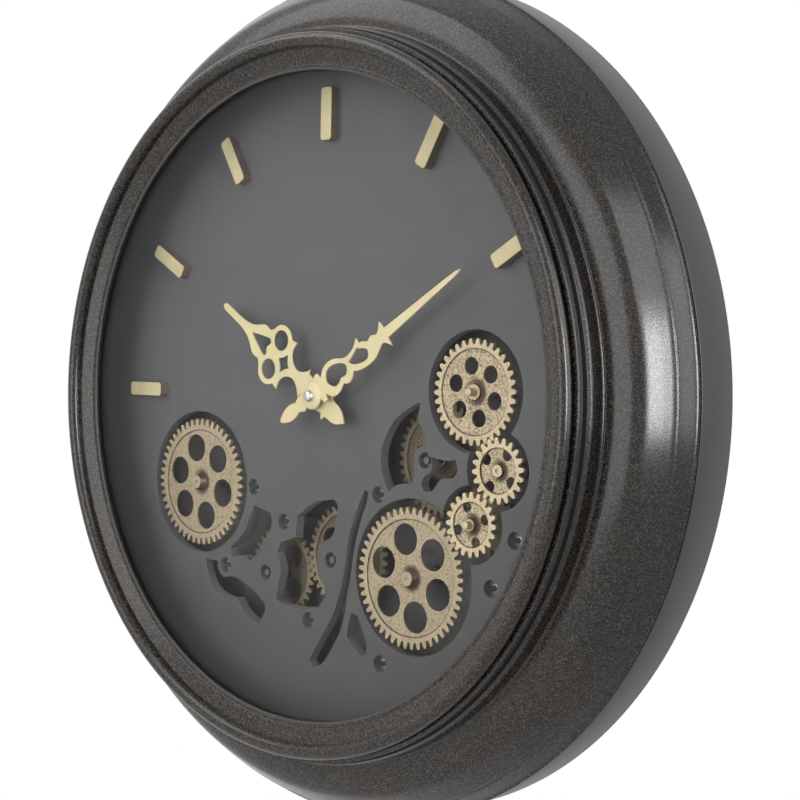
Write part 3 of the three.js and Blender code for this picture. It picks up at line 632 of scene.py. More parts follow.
def case_profile():
    """Neck, cove, ogee and crease down to the seam, then the wall's inner face"""
    neck = [(NECK_INNER, -71.9), (191, -72.2), (193.4, -72.2), (193.6, -71.5)]
    neck = eased(neck, 0.12, closed=False, steps=3)
    drum = [(193.6, -71.5), (193.7, -70.6), (193.85, -69.4), (194.15, -68), (194.5, -66.9), (195.3, -65.4)]
    drum = curved(drum + [(195.7, -64.7), (195.8, -63.6)], False)
    cove = arc((COVE["r"], COVE["y"]), COVE["radius"], 180, 90, 8)
    ogee = [(202.8, -55.6), (208.8, -54.3), (212.6, -52.7), (215.1, -50.8), (219.1, -45.9), (223.3, -40.2)]
    ogee = curved([(COVE["r"], COVE["y"] + COVE["radius"]), *ogee], False, steps=6)
    crease = [(223.3, -40.2), (224.35, -38.5), (224.55, -38.4), (226.2, -35.1), (228.4, -30.5),
              (229.3, -29.2)]
    crease = curved(crease + [(CASE_RADIUS, SEAM_FRONT - 0.1)], False, corner=60)
    inside = [(CASE_RADIUS, SEAM_FRONT), (PLATE_RADIUS, SEAM_FRONT), (PLATE_RADIUS, PLATE_FRONT)]
    inside += [(PLATE_RADIUS - 2, PLATE_FRONT), (PLATE_RADIUS - 2, -31), (220.8, -38.9), (212.6, -48.7)]
    back_of_cove = arc(COVE_BACK["centre"], COVE_BACK["radius"], 90, 180, 8)
    return neck[:-1] + drum + cove + ogee[1:-1] + crease + inside + back_of_cove + [(NECK_INNER, -64)]


def band_profile():
    wall = PLATE_RADIUS + GAP
    outside = [(228.7, BAND_FRONT), (229.5, BAND_FRONT + 1.1), (229.1, 0)]
    return eased([(wall, BAND_FRONT), *outside, (wall, 0)], 0.3)


def ring_profile(inner, outer, front, back, ease=0.2):
    return eased([(inner, front), (outer, front), (outer, back), (inner, back)], ease)


# Rings inside the side band as inner radius, outer radius, front and back
PLATE_LEDGE = (221.5, PLATE_RADIUS, LEDGE_FRONT, LEDGE_FRONT + 2)
REAR_RING = (222, PLATE_RADIUS, -1.5, 0)

# Rings of each turned piece that are painted as deep shade, given the same way
BEZEL_SHADE = [(189, 191.2, -74.1, RETAINER_BACK)]
CASE_SHADE = [(190, 190.6, -72, -60), (193.5, 195.2, -69.4, -66.9),
              (PLATE_RADIUS - 0.1, 229.9, SEAM_FRONT - 0.1, PLATE_FRONT)]
BAND_SHADE = [(PLATE_RADIUS, 229.4, BAND_FRONT - 0.1, BAND_FRONT + 0.9)]


class PieceOperator:
    """What every operator here shares"""

    bl_options = {"REGISTER", "UNDO"}


class CLOCK_OT_case(PieceOperator, bpy.types.Operator):
    """Turns the bezel, the front case and the side band"""

    bl_idname = "clock.case"
    bl_label = "Case rings"

    def execute(self, context):
        bezel = spun(bezel_profile())
        in_shade(bezel, *BEZEL_SHADE)
        make_piece(bezel, "bezel_ring_turned", "case", finishes("gunmetal", "shade"),
                   ["bezel_ring"], 50)
        front = spun(case_profile())
        in_shade(front, *CASE_SHADE)
        make_piece(front, "front_case_spun", "case", finishes("gunmetal", "shade"),
                   ["front_case"], 50)
        band = spun(band_profile())
        in_shade(band, *BAND_SHADE)
        make_piece(band, "side_band_rolled", "case", finishes("band", "shade"),
                   ["side_band"], 50)
        for node, ring in (("plate_ledge", PLATE_LEDGE), ("rear_ring", REAR_RING)):
            bm = spun(ring_profile(*ring))
            make_piece(bm, f"{node}_turned", "case", finishes("band"), [node], 50)
        return {"FINISHED"}


SEAL_INNER = 173
RETAINER_INNER = 184.3


class CLOCK_OT_lens(PieceOperator, bpy.types.Operator):
    """Makes the lens with its seal and its retaining ring"""

    bl_idname = "clock.lens"
    bl_label = "Lens"

    def execute(self, context):
        edge = [(0, GLASS_FRONT), (LENS_RADIUS, GLASS_FRONT), (LENS_RADIUS, GLASS_BACK), (0, GLASS_BACK)]
        disc = spun(eased(edge, 0.3, closed=False), closed=False)
        lens = make_piece(disc, "glass_lens_disc", "case", finishes("glass"), ["glass_lens"],
                          sharp=5)
        lens.visible_shadow = False
        seal = ring_profile(SEAL_INNER, LENS_RADIUS, LIP_BACK, GLASS_FRONT, 0.4)
        make_piece(spun(seal), "lens_seal", "case", finishes("rubber"), ["lens_gasket"])
        ring = ring_profile(RETAINER_INNER, LENS_RADIUS, GLASS_BACK, RETAINER_BACK, 0.4)
        make_piece(spun(ring), "lens_ring", "case", finishes("gunmetal"), ["lens_retainer"])
        return {"FINISHED"}


# Wheels: place, teeth, tip and root radius, lightening holes as [count, radius, ring, first angle], the
# step's radius between rim and web, the hub as [face radius, foot radius, height], the dimple in it as
# [radius, depth], the radius of the dirt and painted shadow round it, how thickly the web is speckled and
# the tone of its brass. A pin is the arbor's length past the wheel's front. The other arbors end in the
# hub.
# The hidden wheels' low tone darkens their brass as painted shade, for they lie behind the dial
HIDDEN = {"front": HIDDEN_FRONT, "hub": [3.5, 4, 0.8], "dimple": [2.3, 0.5], "dirt_and_shadow": 6, "specks": 0.16,
          "tone": 0.6, "pin": HIDDEN_FRONT - DIAL_FRONT - 1}
WHEELS = {
    "left": {"x": -106.6, "z": -53.6, "teeth": 48, "tip": 37.1, "root": 33.3, "phase": -1,
             "front": DIAL_FRONT, "holes": [6, 8, 20.2, -16], "step": 30.6, "hub": [3.9, 5.6, 3],
             "dimple": [0.75, 0.8], "dirt_and_shadow": 6.3, "specks": 0.03, "tone": 1},
    "main": {"x": 64.6, "z": -92.9, "teeth": 48, "tip": 37.1, "root": 33.4, "phase": -3.5,
             "front": RAISED_WHEEL_FRONT, "holes": [6, 8.3, 20.4, 41.3], "step": 31,
             "hub": [3.9, 5.4, 2.4], "dimple": [0.8, 0.8], "dirt_and_shadow": 6, "specks": 0.04, "tone": 1},
    "idler_lower": {"x": 105.7, "z": -61.7, "teeth": 20, "tip": 16.6, "root": 13.6, "follows": "main",
                    "front": RAISED_WHEEL_FRONT, "holes": [4, 2.75, 9.3, 19.5], "step": 11.7,
                    "hub": [3.1, 4.1, 1], "dimple": [2.3, 0.5], "dirt_and_shadow": 5.2, "specks": 0.09, "tone": 1.45,
                    "pin": 4.4},
    "idler_upper": {"x": 121.4, "z": -33.7, "teeth": 20, "tip": 16.8, "root": 13.6,
                    "follows": "idler_lower", "front": DIAL_FRONT, "holes": [4, 3, 9.8, 56], "step": 11.7,
                    "hub": [3.2, 3.7, 0.4], "dimple": [1.2, 1], "dirt_and_shadow": 4.7, "specks": 0.1, "tone": 1.45},
    "upper_right": {"x": 105.1, "z": 5, "teeth": 34, "tip": 27.1, "root": 24.1, "follows": "idler_upper",
                    "front": DIAL_FRONT, "holes": [6, 4.5, 13.5, 42], "step": 22.2, "hub": [4, 4.5, 0.4],
                    "dimple": [2.3, 0.5], "dirt_and_shadow": 6.1, "specks": 0.08, "tone": 1.3, "pin": 5.1},
    "hidden_right": {"x": 72.4, "z": -31.2, "teeth": 38, "tip": 30.5, "root": 27.2,
                     "follows": "idler_lower", "holes": [5, 4.5, 15, 100], "step": 25, **HIDDEN},
    "hidden_bottom": {"x": 4.3, "z": -89.3, "teeth": 38, "tip": 30.4, "root": 27.1, "phase": 0,
                      "holes": [4, 7, 15.5, 55], "step": 25, **HIDDEN},
    "hidden_left": {"x": -48.1, "z": -101.4, "teeth": 32, "tip": 26, "root": 22.7,
                    "follows": "hidden_bottom", "holes": [4, 6, 13, 45], "step": 20.6, **HIDDEN},
}
HIDDEN_WHEELS = ("hidden_right", "hidden_bottom", "hidden_left")
DRIVEN_WHEELS = ("left", "main", "hidden_bottom")
ARBOR_RADIUS = 2
WHEEL_EASE = 0.2
WHEEL_STEPS = 96
RIM_SPECKS = 0.02

# The hub's reach behind the wheel's front, its radius there and the thickness of its closed face
HUB_DEPTH = 3
HUB_BACK_RADIUS = 3.5
HUB_FACE = 1

# A tooth's half width as a share of the pitch, from the root up, each with its share of the height
TOOTH_SHAPE = ((0, 0.4), (0.15, 0.33), (0.5, 0.27), (0.8, 0.215), (1, 0.12))


def phase_of(wheel):
    """The first tooth's angle. A follower's teeth fall in the gaps of the wheel that it follows."""
    if "follows" not in wheel:
        return wheel["phase"]
    leader = WHEELS[wheel["follows"]]
    line = math.degrees(math.atan2(wheel["z"] - leader["z"], wheel["x"] - leader["x"]))
    leader_share = (phase_of(leader) - line) / (360 / leader["teeth"])
    pitch = 360 / wheel["teeth"]
    phase = line + 180 + pitch * (0.5 - leader_share)
    return phase - pitch * round(phase / pitch)


def pinion_phase():
    """The first tooth's angle of the lower idler's pinion, which meshes with the hidden right wheel"""
    wheel, follower = WHEELS["idler_lower"], WHEELS["hidden_right"]
    line = math.degrees(math.atan2(follower["z"] - wheel["z"], follower["x"] - wheel["x"]))
    share = (phase_of(follower) - line - 180) / (360 / follower["teeth"])
    return line + (360 / wheel["teeth"]) * (0.5 - share)


def toothed(wheel, phase):
    """The wheel's outline, with wide rounded roots, bellied flanks and narrow tips"""
    pitch = 360 / wheel["teeth"]
    height = wheel["tip"] - wheel["root"]
    points = []
    for tooth in range(wheel["teeth"]):
        middle = phase + tooth * pitch
        for side, shape in ((-1, TOOTH_SHAPE), (1, TOOTH_SHAPE[::-1])):
            for share, half in shape:
                points.append(polar(wheel["root"] + share * height, middle + side * half * pitch))
    return eased(points, 0.35)


def hub_profile(wheel):
    """Dimple, face, taper and foot of the hub, then its collar behind"""
    face_radius, foot_radius, height = wheel["hub"]
    dimple, depth = wheel["dimple"]
    face = wheel["front"] - height
    web = wheel["front"] + bpy.context.scene.clock_sizes.web_depth
    back = wheel["front"] + HUB_DEPTH
    collar = web + 0.6
    front = [(0, face + depth), (0.9 * dimple, face + depth), (dimple, face), (face_radius, face)]
    behind = [(foot_radius, collar), (HUB_BACK_RADIUS, collar), (HUB_BACK_RADIUS, back), (0, back)]
    return eased([*front, (foot_radius, web), *behind], 0.25, closed=False, steps=3)


def wheel_mesh(name):
    """One wheel: toothed rim, pierced web a step behind it, and hub"""
    wheel = WHEELS[name]
    sizes = bpy.context.scene.clock_sizes
    front, step = wheel["front"], wheel["step"]
    count, radius, ring, first = wheel["holes"]
    back = front + WHEEL_THICK
    teeth = toothed(wheel, phase_of(wheel))
    rim = sheet_piece(teeth, [circle(step, steps=WHEEL_STEPS)], front, back, WHEEL_EASE)
    holes = [circle(radius, polar(ring, first + 360 / count * i), sizes.hole_steps) for i in range(count)]
    holes.append(circle(wheel["hub"][1] - 0.4))
    disc = circle(step + 0.5, steps=WHEEL_STEPS)
    web = sheet_piece(disc, holes, front + sizes.web_depth, back - 0.4, WHEEL_EASE)
    whole = together(rim, web, spun(hub_profile(wheel), closed=False, steps=48))
    shift(whole, wheel["x"], 0, wheel["z"])
    return whole


def arbor_profile(name):
    """A driven arbor reaches into its drive, the others end just behind the plate"""
    wheel = WHEELS[name]
    in_hub = wheel["front"] - wheel["hub"][2] + HUB_FACE + GAP
    tip = wheel["front"] - wheel["pin"] if "pin" in wheel else in_hub
    back = LEDGE_FRONT + (7 if name in DRIVEN_WHEELS else 1)
    rod = [(0, tip), (ARBOR_RADIUS, tip), (ARBOR_RADIUS, back), (0, back)]
    return eased(rod, 0.5, closed=False, steps=4)


class CLOCK_OT_wheels(PieceOperator, bpy.types.Operator):
    """Cuts the five front wheels and the three hidden ones, with their arbors"""

    bl_idname = "clock.wheels"
    bl_label = "Wheels and arbors"

    def execute(self, context):
        for name, wheel in WHEELS.items():
            body, node = f"gear_{name}", f"wheel_{name}"
            make_piece(wheel_mesh(name), f"{node}_cut", body, finishes(name), [node])
            shaft = spun(arbor_profile(name), closed=False, steps=32)
            shift(shaft, wheel["x"], 0, wheel["z"])
            pin = "pin_dull" if name in HIDDEN_WHEELS else "pin_brass"
            node = f"arbor_{name}"
            make_piece(shaft, f"{node}_turned", body, finishes(pin), [node], 40)
        lower = WHEELS["idler_lower"]
        bore = circle(ARBOR_RADIUS - 0.2, steps=24)
        teeth = toothed(lower, pinion_phase())
        pinion = sheet_piece(teeth, [bore], HIDDEN_FRONT, HIDDEN_FRONT + PINION_THICK, 0.15)
        shift(pinion, lower["x"], 0, lower["z"])
        make_piece(pinion, "pinion_idler_lower", "gear_idler_lower",
                   finishes("aged_brass"))
        return {"FINISHED"}


# Dial: wells round the front wheels as centres and radii, cut-outs over the hidden ones and sunk screws
LEFT_WELL = ((-106.6, -53.6), 41.4)
WELL_CHAIN = (((105.3, 5.2), 31.2), ((121.4, -33.7), 20), ((105, -61.8), 20), ((64.9, -92.5), 41))
CUT_OUTS = {
    "slit": [(29.3, -49.5), (25, -58), (18.5, -74.5), (13.7, -100.7), (7, -119), (-3, -134),
             (-10.6, -145.6), (-7.6, -149.5), (-1, -146.5), (6, -137.5), (13.4, -125), (18.8, -101.5),
             (23.6, -75.5), (30, -58), (32, -50.5)],
    "leaf": [(21.2, -116.4), (25.5, -117.4), (29.3, -124.5), (32.9, -131.7), (31.7, -137.6),
             (28.1, -138.3), (22.5, -133.5), (18.1, -129.3), (19, -123)],
    "crescent": [(68.1, -1.4), (58, -6.3), (49.5, -12.6), (42.4, -24.5), (41.2, -34), (43.6, -42.4),
                 (47.1, -49), (53.1, -44.8), (62.6, -44), (64.9, -38.8), (64.1, -31.2), (66.5, -25.3),
                 (72.4, -22.9), (72, -18), (67.4, -11.4)],
    "bridge_window": [(76.9, -29.3), (80.5, -30), (90, -30.5), (93.1, -29.3), (95.2, -35.2), (91.2, -39.3),
                      (84, -40), (79.3, -44.8), (76.9, -47.1), (72.1, -47.1), (70.5, -44), (72.1, -40),
                      (76.4, -37.6), (77.6, -34)],
    "left_window": [(-58.8, -64.3), (-44.5, -67.4), (-43.3, -74.5), (-54.5, -90), (-61.2, -96),
                    (-64.8, -93.6), (-76.7, -94.8), (-78.3, -90), (-66, -79.3), (-61.2, -69.8)],
    "lower_window": [(-100, -98.8), (-89.8, -98.8), (-88.6, -104.3), (-83.8, -107.9), (-75.5, -106.7),
                     (-63.6, -110.2), (-54, -115), (-49.3, -118.6), (-47.4, -122.1), (-52.9, -131.2),
                     (-64.8, -125.7), (-71.2, -118.6), (-82.6, -118.6), (-93.3, -113.8), (-99.3, -104.3)],
    "middle_window": [(-22.4, -67.4), (-8.8, -59), (5.5, -56.2), (9, -58.3), (8.3, -67.4), (5.5, -75.7),
                      (-0.5, -79.3), (-4.8, -82.9), (-6.4, -91.2), (-5.2, -98.3), (-0.5, -104.3),
                      (0.2, -110.2), (-4.8, -116.2), (-18.3, -117.9), (-32.6, -117.4), (-38.6, -115.5),
                      (-36.9, -106.7), (-35, -98.3), (-38.6, -88.8), (-35.5, -83.3), (-23.6, -79.3)],
}
SCREWS = [(39.5, -51.2), (-59.5, -53.6), (-12.4, -124.3), (42.9, -140.7), (118.6, -92.6), (133.3, -67.4),
          (-33.8, -71.4), (-82.6, -100.5)]
SCREW = {"head": 2.5, "shank": 1.2, "front": -38.6, "seat": -37.1, "tip": -28}
SINK_RADIUS = 4.4
PIVOT_HOLE = 4.2
BUSH_RADIUS = 4
DIAL_EASE = 0.3
WELL_STEPS = 128


def chained_circles(circles, steps):
    """The outline round circles that overlap one after the other"""
    def crossing(i, j):
        """Direction from circle i to circle j, and half the angle that j covers on it, degrees"""
        (a, ra), (b, rb) = circles[i], circles[j]
        away = Vector(b) - Vector(a)
        half = math.acos((ra ** 2 + away.length ** 2 - rb ** 2) / (2 * ra * away.length))
        return math.degrees(math.atan2(away.y, away.x)), math.degrees(half)

    def stretch(i, enter, leave):
        """The part of circle i from where circle enter ends to where circle leave begins"""
        towards_enter, half_enter = crossing(i, enter)
        towards_leave, half_leave = crossing(i, leave)
        first = towards_enter + half_enter
        last = towards_leave - half_leave
        last += 360 * math.ceil((first - last) / 360)
        return arc(*circles[i], first, last, max(3, round(steps * (last - first) / 360)))[:-1]

    last = len(circles) - 1
    points = stretch(0, 1, 1)
    for i in range(1, last):
        points += stretch(i, i - 1, i + 1)
    points += stretch(last, last - 1, last - 1)
    for i in range(last - 1, 0, -1):
        points += stretch(i, i + 1, i - 1)
    return points


def dial_mesh():
    """A disc with its wells, cut-outs and holes, and a seat for each screw"""
    near = DIAL_FRONT + DIAL_EASE
    bm = bmesh.new()
    outlines = [circle(DIAL_RADIUS, steps=256), circle(LEFT_WELL[1], LEFT_WELL[0], WELL_STEPS)]
    outlines.append(chained_circles(WELL_CHAIN, WELL_STEPS))
    outlines += [curved(points, corner=42) for points in CUT_OUTS.values()]
    outlines += [circle(PIVOT_HOLE, (WHEELS[name]["x"], WHEELS[name]["z"])) for name in HIDDEN_WHEELS]
    outlines.append(circle(BUSH_RADIUS + GAP))
    loops = [loop_of(bm, points, near) for points in outlines]
    sinks = [loop_of(bm, circle(SINK_RADIUS, place), near) for place in SCREWS]
    shanks = [loop_of(bm, circle(SCREW["shank"] + GAP, place), near) for place in SCREWS]
    top = fill(bm, *loops, *sinks)
    seats = [fill(bm, sink, shank) for sink, shank in zip(sinks, shanks)]
    thicken(bm, near, DIAL_BACK)
    for seat in seats:
        step_in(bm, seat, STRAIGHT, near - SCREW["seat"])
    ease_rim(bm, top, DIAL_EASE)
    return bm


class CLOCK_OT_dial(PieceOperator, bpy.types.Operator):
    """Cuts the pierced dial"""

    bl_idname = "clock.dial"
    bl_label = "Dial"

    def execute(self, context):
        make_piece(dial_mesh(), "dial_plate_cut", "case", finishes("dial"), ["dial_plate"])
        return {"FINISHED"}


def screw_mesh(head, height, shank, length):
    """A plain domed screw. Its head's underside lies at y 0 and its dome faces -Y."""
    rim = 0.35 * height
    dome = []
    for degrees in range(0, 91, 15):
        angle = math.radians(degrees)
        dome.append((head * math.sin(angle), -rim - (height - rim) * math.cos(angle)))
    profile = dome + [(head, 0), (shank, 0), (shank, length - 0.6), (shank - 0.6, length), (0, length)]
    return spun(profile, closed=False, steps=32)


class CLOCK_OT_dial_screws(PieceOperator, bpy.types.Operator):
    """Makes the domed screws that hold the dial on its pillars"""

    bl_idname = "clock.dial_screws"
    bl_label = "Dial screws"

    def execute(self, context):
        head, shank, front, seat, tip = (SCREW[key] for key in ("head", "shank", "front", "seat", "tip"))
        for number, (x, z) in enumerate(SCREWS, 1):
            bm = screw_mesh(head, seat - front, shank, tip - seat)
            shift(bm, x, seat, z)
            node = f"dial_screw_{number}"
            make_piece(bm, f"{node}_domed", "case", finishes("screw"), [node], 50)
        return {"FINISHED"}


MARKER_HOURS = (9, 10, 11, 12, 1, 2)
MARKER = {"inner": 138.5, "outer": 167, "width": 8, "corner": 1.8, "ease": 0.35}


class CLOCK_OT_markers(PieceOperator, bpy.types.Operator):
    """Makes the raised hour bars"""

    bl_idname = "clock.markers"
    bl_label = "Hour bars"

    def execute(self, context):
        half = MARKER["width"] / 2
        for hour in MARKER_HOURS:
            outline = round_box(-half, half, MARKER["inner"], MARKER["outer"], MARKER["corner"])
            bm = sheet_piece(outline, [], MARKER_FRONT, DIAL_FRONT, MARKER["ease"], ease_far=False)
            bm.normal_update()
            for face in bm.faces:
                face.material_index = 0 if face.normal.y < -0.2 else 1
            turn(bm, hour * 30)
            node = f"marker_{hour}"
            make_piece(bm, f"{node}_bar", "case", finishes("bar_gold", "gold_side"), [node])
        return {"FINISHED"}


# Hands: outlines as (along, across) from the clock's axis, with across positive on the clockwise side
HOUR_ANGLE = 303
MINUTE_ANGLE = 57.9
MINUTE_OFFSET = -0.3
HOUR_PIPE = {"radius": 2.6, "bore": 1.7, "front": HOUR_FRONT - 0.6, "back": -33.2}
MINUTE_ARBOR = {"radius": 1.3, "front": CAP_FRONT + 1.2, "back": -33.2}
HOUR_HALF = [(92.2, 0.3), (90.5, 1.8), (88, 2.1), (80, 2.15), (72, 2.4), (66, 3.7), (63, 5), (60.5, 6.7),
             (57, 9.2), (55, 9.7), (53, 9.6), (51, 9.3), (48.6, 11.5), (46, 15.9), (42, 17.9),
             (38.4, 17.9), (35, 16.2), (33, 14.3), (28.7, 15.1), (29.2, 10.5), (28, 7), (26, 5),
             (23.5, 3.6), (21, 3), (19, 3.2), (17, 4.1), (15, 5.5), (13.2, 7.2), (12, 9.1), (11.1, 6.8),
             (9, 6.6), (6, 6.6), (0, 7), (-4, 6.6), (-8, 5.5), (-10, 8.6), (-11.5, 5.5), (-14, 5.3),
             (-17, 5.2), (-20, 4.4), (-22, 3.3), (-24, 1.6), (-25.5, 0.4)]
HOUR_HEART = [(63, 0), (60, 1.3), (55, 3.3), (50, 5), (48.5, 5.4), (46.6, 4.6), (46.5, 3.2), (47.6, 1),
              (48.2, 0)]
HOUR_DIAMOND = [(36.7, 0), (33.5, 2.7), (31.2, 6), (29, 2.2), (26.5, 0)]
HOUR_LOOP = {"along": 40.2, "across": 9.4, "radius": 5.75}
MINUTE_RIGHT = [(0, 7.5), (5.5, 5.2), (7, 8.5), (10, 8.2), (10.2, 4.8), (13, 8), (15, 9.2), (18, 9.7),
                (21, 8.9), (24.5, 6.9), (27.5, 8.7), (30, 8.6), (32, 7.7), (34.2, 5), (36, 6.2), (39, 7.2),
                (43, 8), (47, 8.2), (51, 7.8), (54, 6.7), (57, 5), (59, 3.9), (61, 4.1), (64, 7),
                (65, 8.3), (64.9, 3.2), (75, 2.8), (90, 2.3), (105, 1.7), (121, 1), (124.3, 0.1)]
MINUTE_LEFT = [(121, -0.8), (105, -1.5), (90, -1.9), (75, -2.3), (64.6, -2.7), (63.8, -6.3), (63, -7.4),
               (61.6, -5.2), (59, -3), (57.5, -2.9), (54.5, -4.3), (50.8, -2.9), (47.5, -5), (45.3, -5.4),
               (44.6, -9), (42.5, -7.2), (40, -5.6), (37, -4.6), (34, -4.3), (31.5, -4.6), (29, -5.7),
               (26, -7.5), (23, -8.6), (20, -9), (17, -8.6), (14.5, -7.6), (11, -4.6), (9.8, -8),
               (7.1, -8.1), (5.5, -5.5), (0, -7.5)]
MINUTE_TAIL_HALF = [(-6.2, 3.4), (-8.7, 4.95), (-11.5, 3.6), (-13, 2.85), (-14.3, 3.4), (-17, 4.1),
                    (-20, 4.15), (-23, 3.5), (-26, 2.25), (-28.3, 0.9)]
MINUTE_LOWER_OPENING = [(31, -0.5), (30.2, 2.5), (28, 4.1), (24.3, 3.5), (23, 4.5), (20.5, 5.3), (17.8, 5),
                        (15, 2.3), (13.9, 0), (14.3, -2.5), (15.5, -4.5), (17.5, -5.7), (20, -6.1),
                        (23, -5.6), (26, -4.6), (29, -2.9)]
MINUTE_UPPER_OPENING = [(48.7, 1.5), (47, 4.5), (44, 4.9), (41, 4.3), (38, 3.2), (35.5, 1.8), (33.3, -0.8),
                        (36, -1.6), (40, -3.2), (42.8, -4.3), (43.4, -3), (46, -1.9), (48.5, 0.3)]
HAND_EDGE = 0.14

# Turned parts on the minute hand, as (radius, y): the boss from the hand's front, the cap from its own top
MINUTE_BOSS = [(1.6, -0.9), (3.4, -0.9), (6.2, -0.45), (7.3, 0), (7.3, 0.2), (1.6, 0.2)]
CAP_DOME = [(0, 0), (1.4, 0.1), (2.5, 0.7), (3.05, 1.6), (3.1, 2.4)]
CAP_RIM = {"radius": 2.9, "bore": 1.6, "bore_end": 0.9, "back": MINUTE_FRONT - 0.95}


def across_first(points):
    """Outline points as (x, z) for a hand that points straight up"""
    return [(across, along) for along, across in points]


def mirrored(half):
    return half + [(along, -across) for along, across in reversed(half)]


def pointed(half):
    return half + [(along, -across) for along, across in reversed(half[1:-1])]


def hour_hand_mesh():
    outline = curved(across_first(mirrored(HOUR_HALF)), corner=40, steps=3)
    holes = [curved(across_first(pointed(half)), corner=40, steps=3)
             for half in (HOUR_HEART, HOUR_DIAMOND)]
    for side in (1, -1):
        holes.append(circle(HOUR_LOOP["radius"], (side * HOUR_LOOP["across"], HOUR_LOOP["along"])))
    holes.append(circle(HOUR_PIPE["radius"] + GAP))
    bm = sheet_piece(outline, holes, HOUR_FRONT, HOUR_FRONT + HAND_THICK, HAND_EDGE)
    turn(bm, HOUR_ANGLE)
    return bm


def minute_hand_mesh():
    tail = [(along, -across) for along, across in MINUTE_TAIL_HALF] + MINUTE_TAIL_HALF[::-1]
    outline = curved(across_first(MINUTE_RIGHT + MINUTE_LEFT + tail), corner=40, steps=3)
    openings = (MINUTE_LOWER_OPENING, MINUTE_UPPER_OPENING)
    holes = [curved(across_first(points), corner=60, steps=3) for points in openings]
    holes.append(circle(MINUTE_ARBOR["radius"] + GAP))
    bm = sheet_piece(outline, holes, MINUTE_FRONT, MINUTE_FRONT + HAND_THICK, HAND_EDGE)
    shift(bm, MINUTE_OFFSET)
    turn(bm, MINUTE_ANGLE)
    return bm


class CLOCK_OT_hands(PieceOperator, bpy.types.Operator):
    """Cuts the hour hand and the minute hand, and turns what holds them"""

    bl_idname = "clock.hands"
    bl_label = "Hands"

    def execute(self, context):
        gold, steel = finishes("gold"), finishes("steel")
        make_piece(hour_hand_mesh(), "hour_hand_cut", "hour", gold, ["hour_hand"])
        make_piece(minute_hand_mesh(), "minute_hand_cut", "minute", gold, ["minute_hand"])
        boss = spun(eased([(radius, MINUTE_FRONT + y) for radius, y in MINUTE_BOSS], 0.3), steps=48)
        make_piece(boss, "minute_boss", "minute", gold, sharp=60)
        pipe = ring_profile(HOUR_PIPE["bore"], HOUR_PIPE["radius"], HOUR_PIPE["front"], HOUR_PIPE["back"])
        pipe = spun(pipe, steps=32)
        make_piece(pipe, "hour_pipe_turned", "hour", finishes("pin_brass"), ["hour_pipe"])
        radius, front, back = (MINUTE_ARBOR[key] for key in ("radius", "front", "back"))
        rod = eased([(0, front), (radius, front), (radius, back), (0, back)], 0.3, closed=False)
        rod = spun(rod, closed=False, steps=32)
        make_piece(rod, "minute_arbor_turned", "minute", steel, ["minute_arbor"])
        radius, bore, bore_end, back = (CAP_RIM[key] for key in ("radius", "bore", "bore_end", "back"))
        cap = curved([(r, CAP_FRONT + y) for r, y in CAP_DOME] + [(radius, back)], False)
        cap += [(bore, back), (bore, CAP_FRONT + bore_end), (0, CAP_FRONT + bore_end)]
        cap = spun(cap, closed=False, steps=48)
        make_piece(cap, "cap_nut_domed", "minute", steel, ["cap_nut"], 60)
        return {"FINISHED"}


# Movement: housing, its threaded bush, its cell, the nut on the dial and the setting knob at the back
MOVEMENT = {"half_width": 28, "top": 22, "bottom": -34, "back": -19.8, "corner": 3, "ease": 0.5}
KNOB_WELL = {"radius": 12.5, "depth": 0.6}
FLANGE = {"reach": 4, "overlap": 1, "front": -22.6, "back": PLATE_FRONT - GAP}
BUSH = {"bore": 2.9, "front": -46.5, "thread": 0.25}
NUT = {"radius": 6.9, "thick": 2.6}
KNOB = {"grip": 5, "groove": 4.65, "grooves": 24, "front": -18.4, "back": -15.6, "stem": 2}
CELL = {"radius": 7.1, "length": 50.5}
MOVEMENT_CELL = {"y": -27.4, "z": -24.5}


def cell_mesh():
    """A cell along X, with its cap at the +X end, centred on the origin"""
    half, radius = CELL["length"] / 2, CELL["radius"]
    base = [(0, -half), (5.4, -half), (5.6, -half + 0.3), (6.4, -half + 0.3), (radius, -half + 1)]
    shoulder = [(radius, half - 2.3), (6.4, half - 1.6), (5.2, half - 1.5), (3.1, half - 1.5)]
    cap = [(2.7, half - 0.2), (2.5, half), (0, half)]
    bm = spun(base + shoulder + cap, closed=False, steps=48)
    for face in bm.faces:
        middle = face.calc_center_median()
        along = middle.y / MM
        if middle.xz.length < 6 * MM and abs(along) > half - 2.5:
            face.material_index = 2
        elif along > half - 14:
            face.material_index = 1
    turn(bm, -90, "Z")
    return bm


def add_cell(name, node, x, y, z):
    bm = cell_mesh()
    shift(bm, x, y, z)
    make_piece(bm, name, "case", finishes("sleeve", "sleeve_band", "zinc"), [node], 40)


def movement_mesh():
    """The housing, with a bay for its cell and a shallow well round the setting knob"""
    half, top, bottom, back = (MOVEMENT[key] for key in ("half_width", "top", "bottom", "back"))
    near = back - MOVEMENT["ease"]
    bay_half = CELL["length"] / 2 + 0.8
    bay_z = (MOVEMENT_CELL["z"] - CELL["radius"] - 0.6, MOVEMENT_CELL["z"] + CELL["radius"] + 0.6)
    bm = bmesh.new()
    outline = loop_of(bm, round_box(-half, half, bottom, top, MOVEMENT["corner"]), near)
    bay = loop_of(bm, round_box(-bay_half, bay_half, *bay_z, 0.8), near)
    ring = loop_of(bm, circle(KNOB_WELL["radius"]), near)
    deck = fill(bm, outline, bay, ring)
    floor = fill(bm, bay)
    disc = fill(bm, ring)
    thicken(bm, near, DIAL_BACK)
    step_in(bm, floor, STRAIGHT, MOVEMENT_CELL["y"] - CELL["radius"] - 0.2 - near)
    step_in(bm, disc, 0.4, -KNOB_WELL["depth"])
    ease_rim(bm, deck, MOVEMENT["ease"])
    return bm


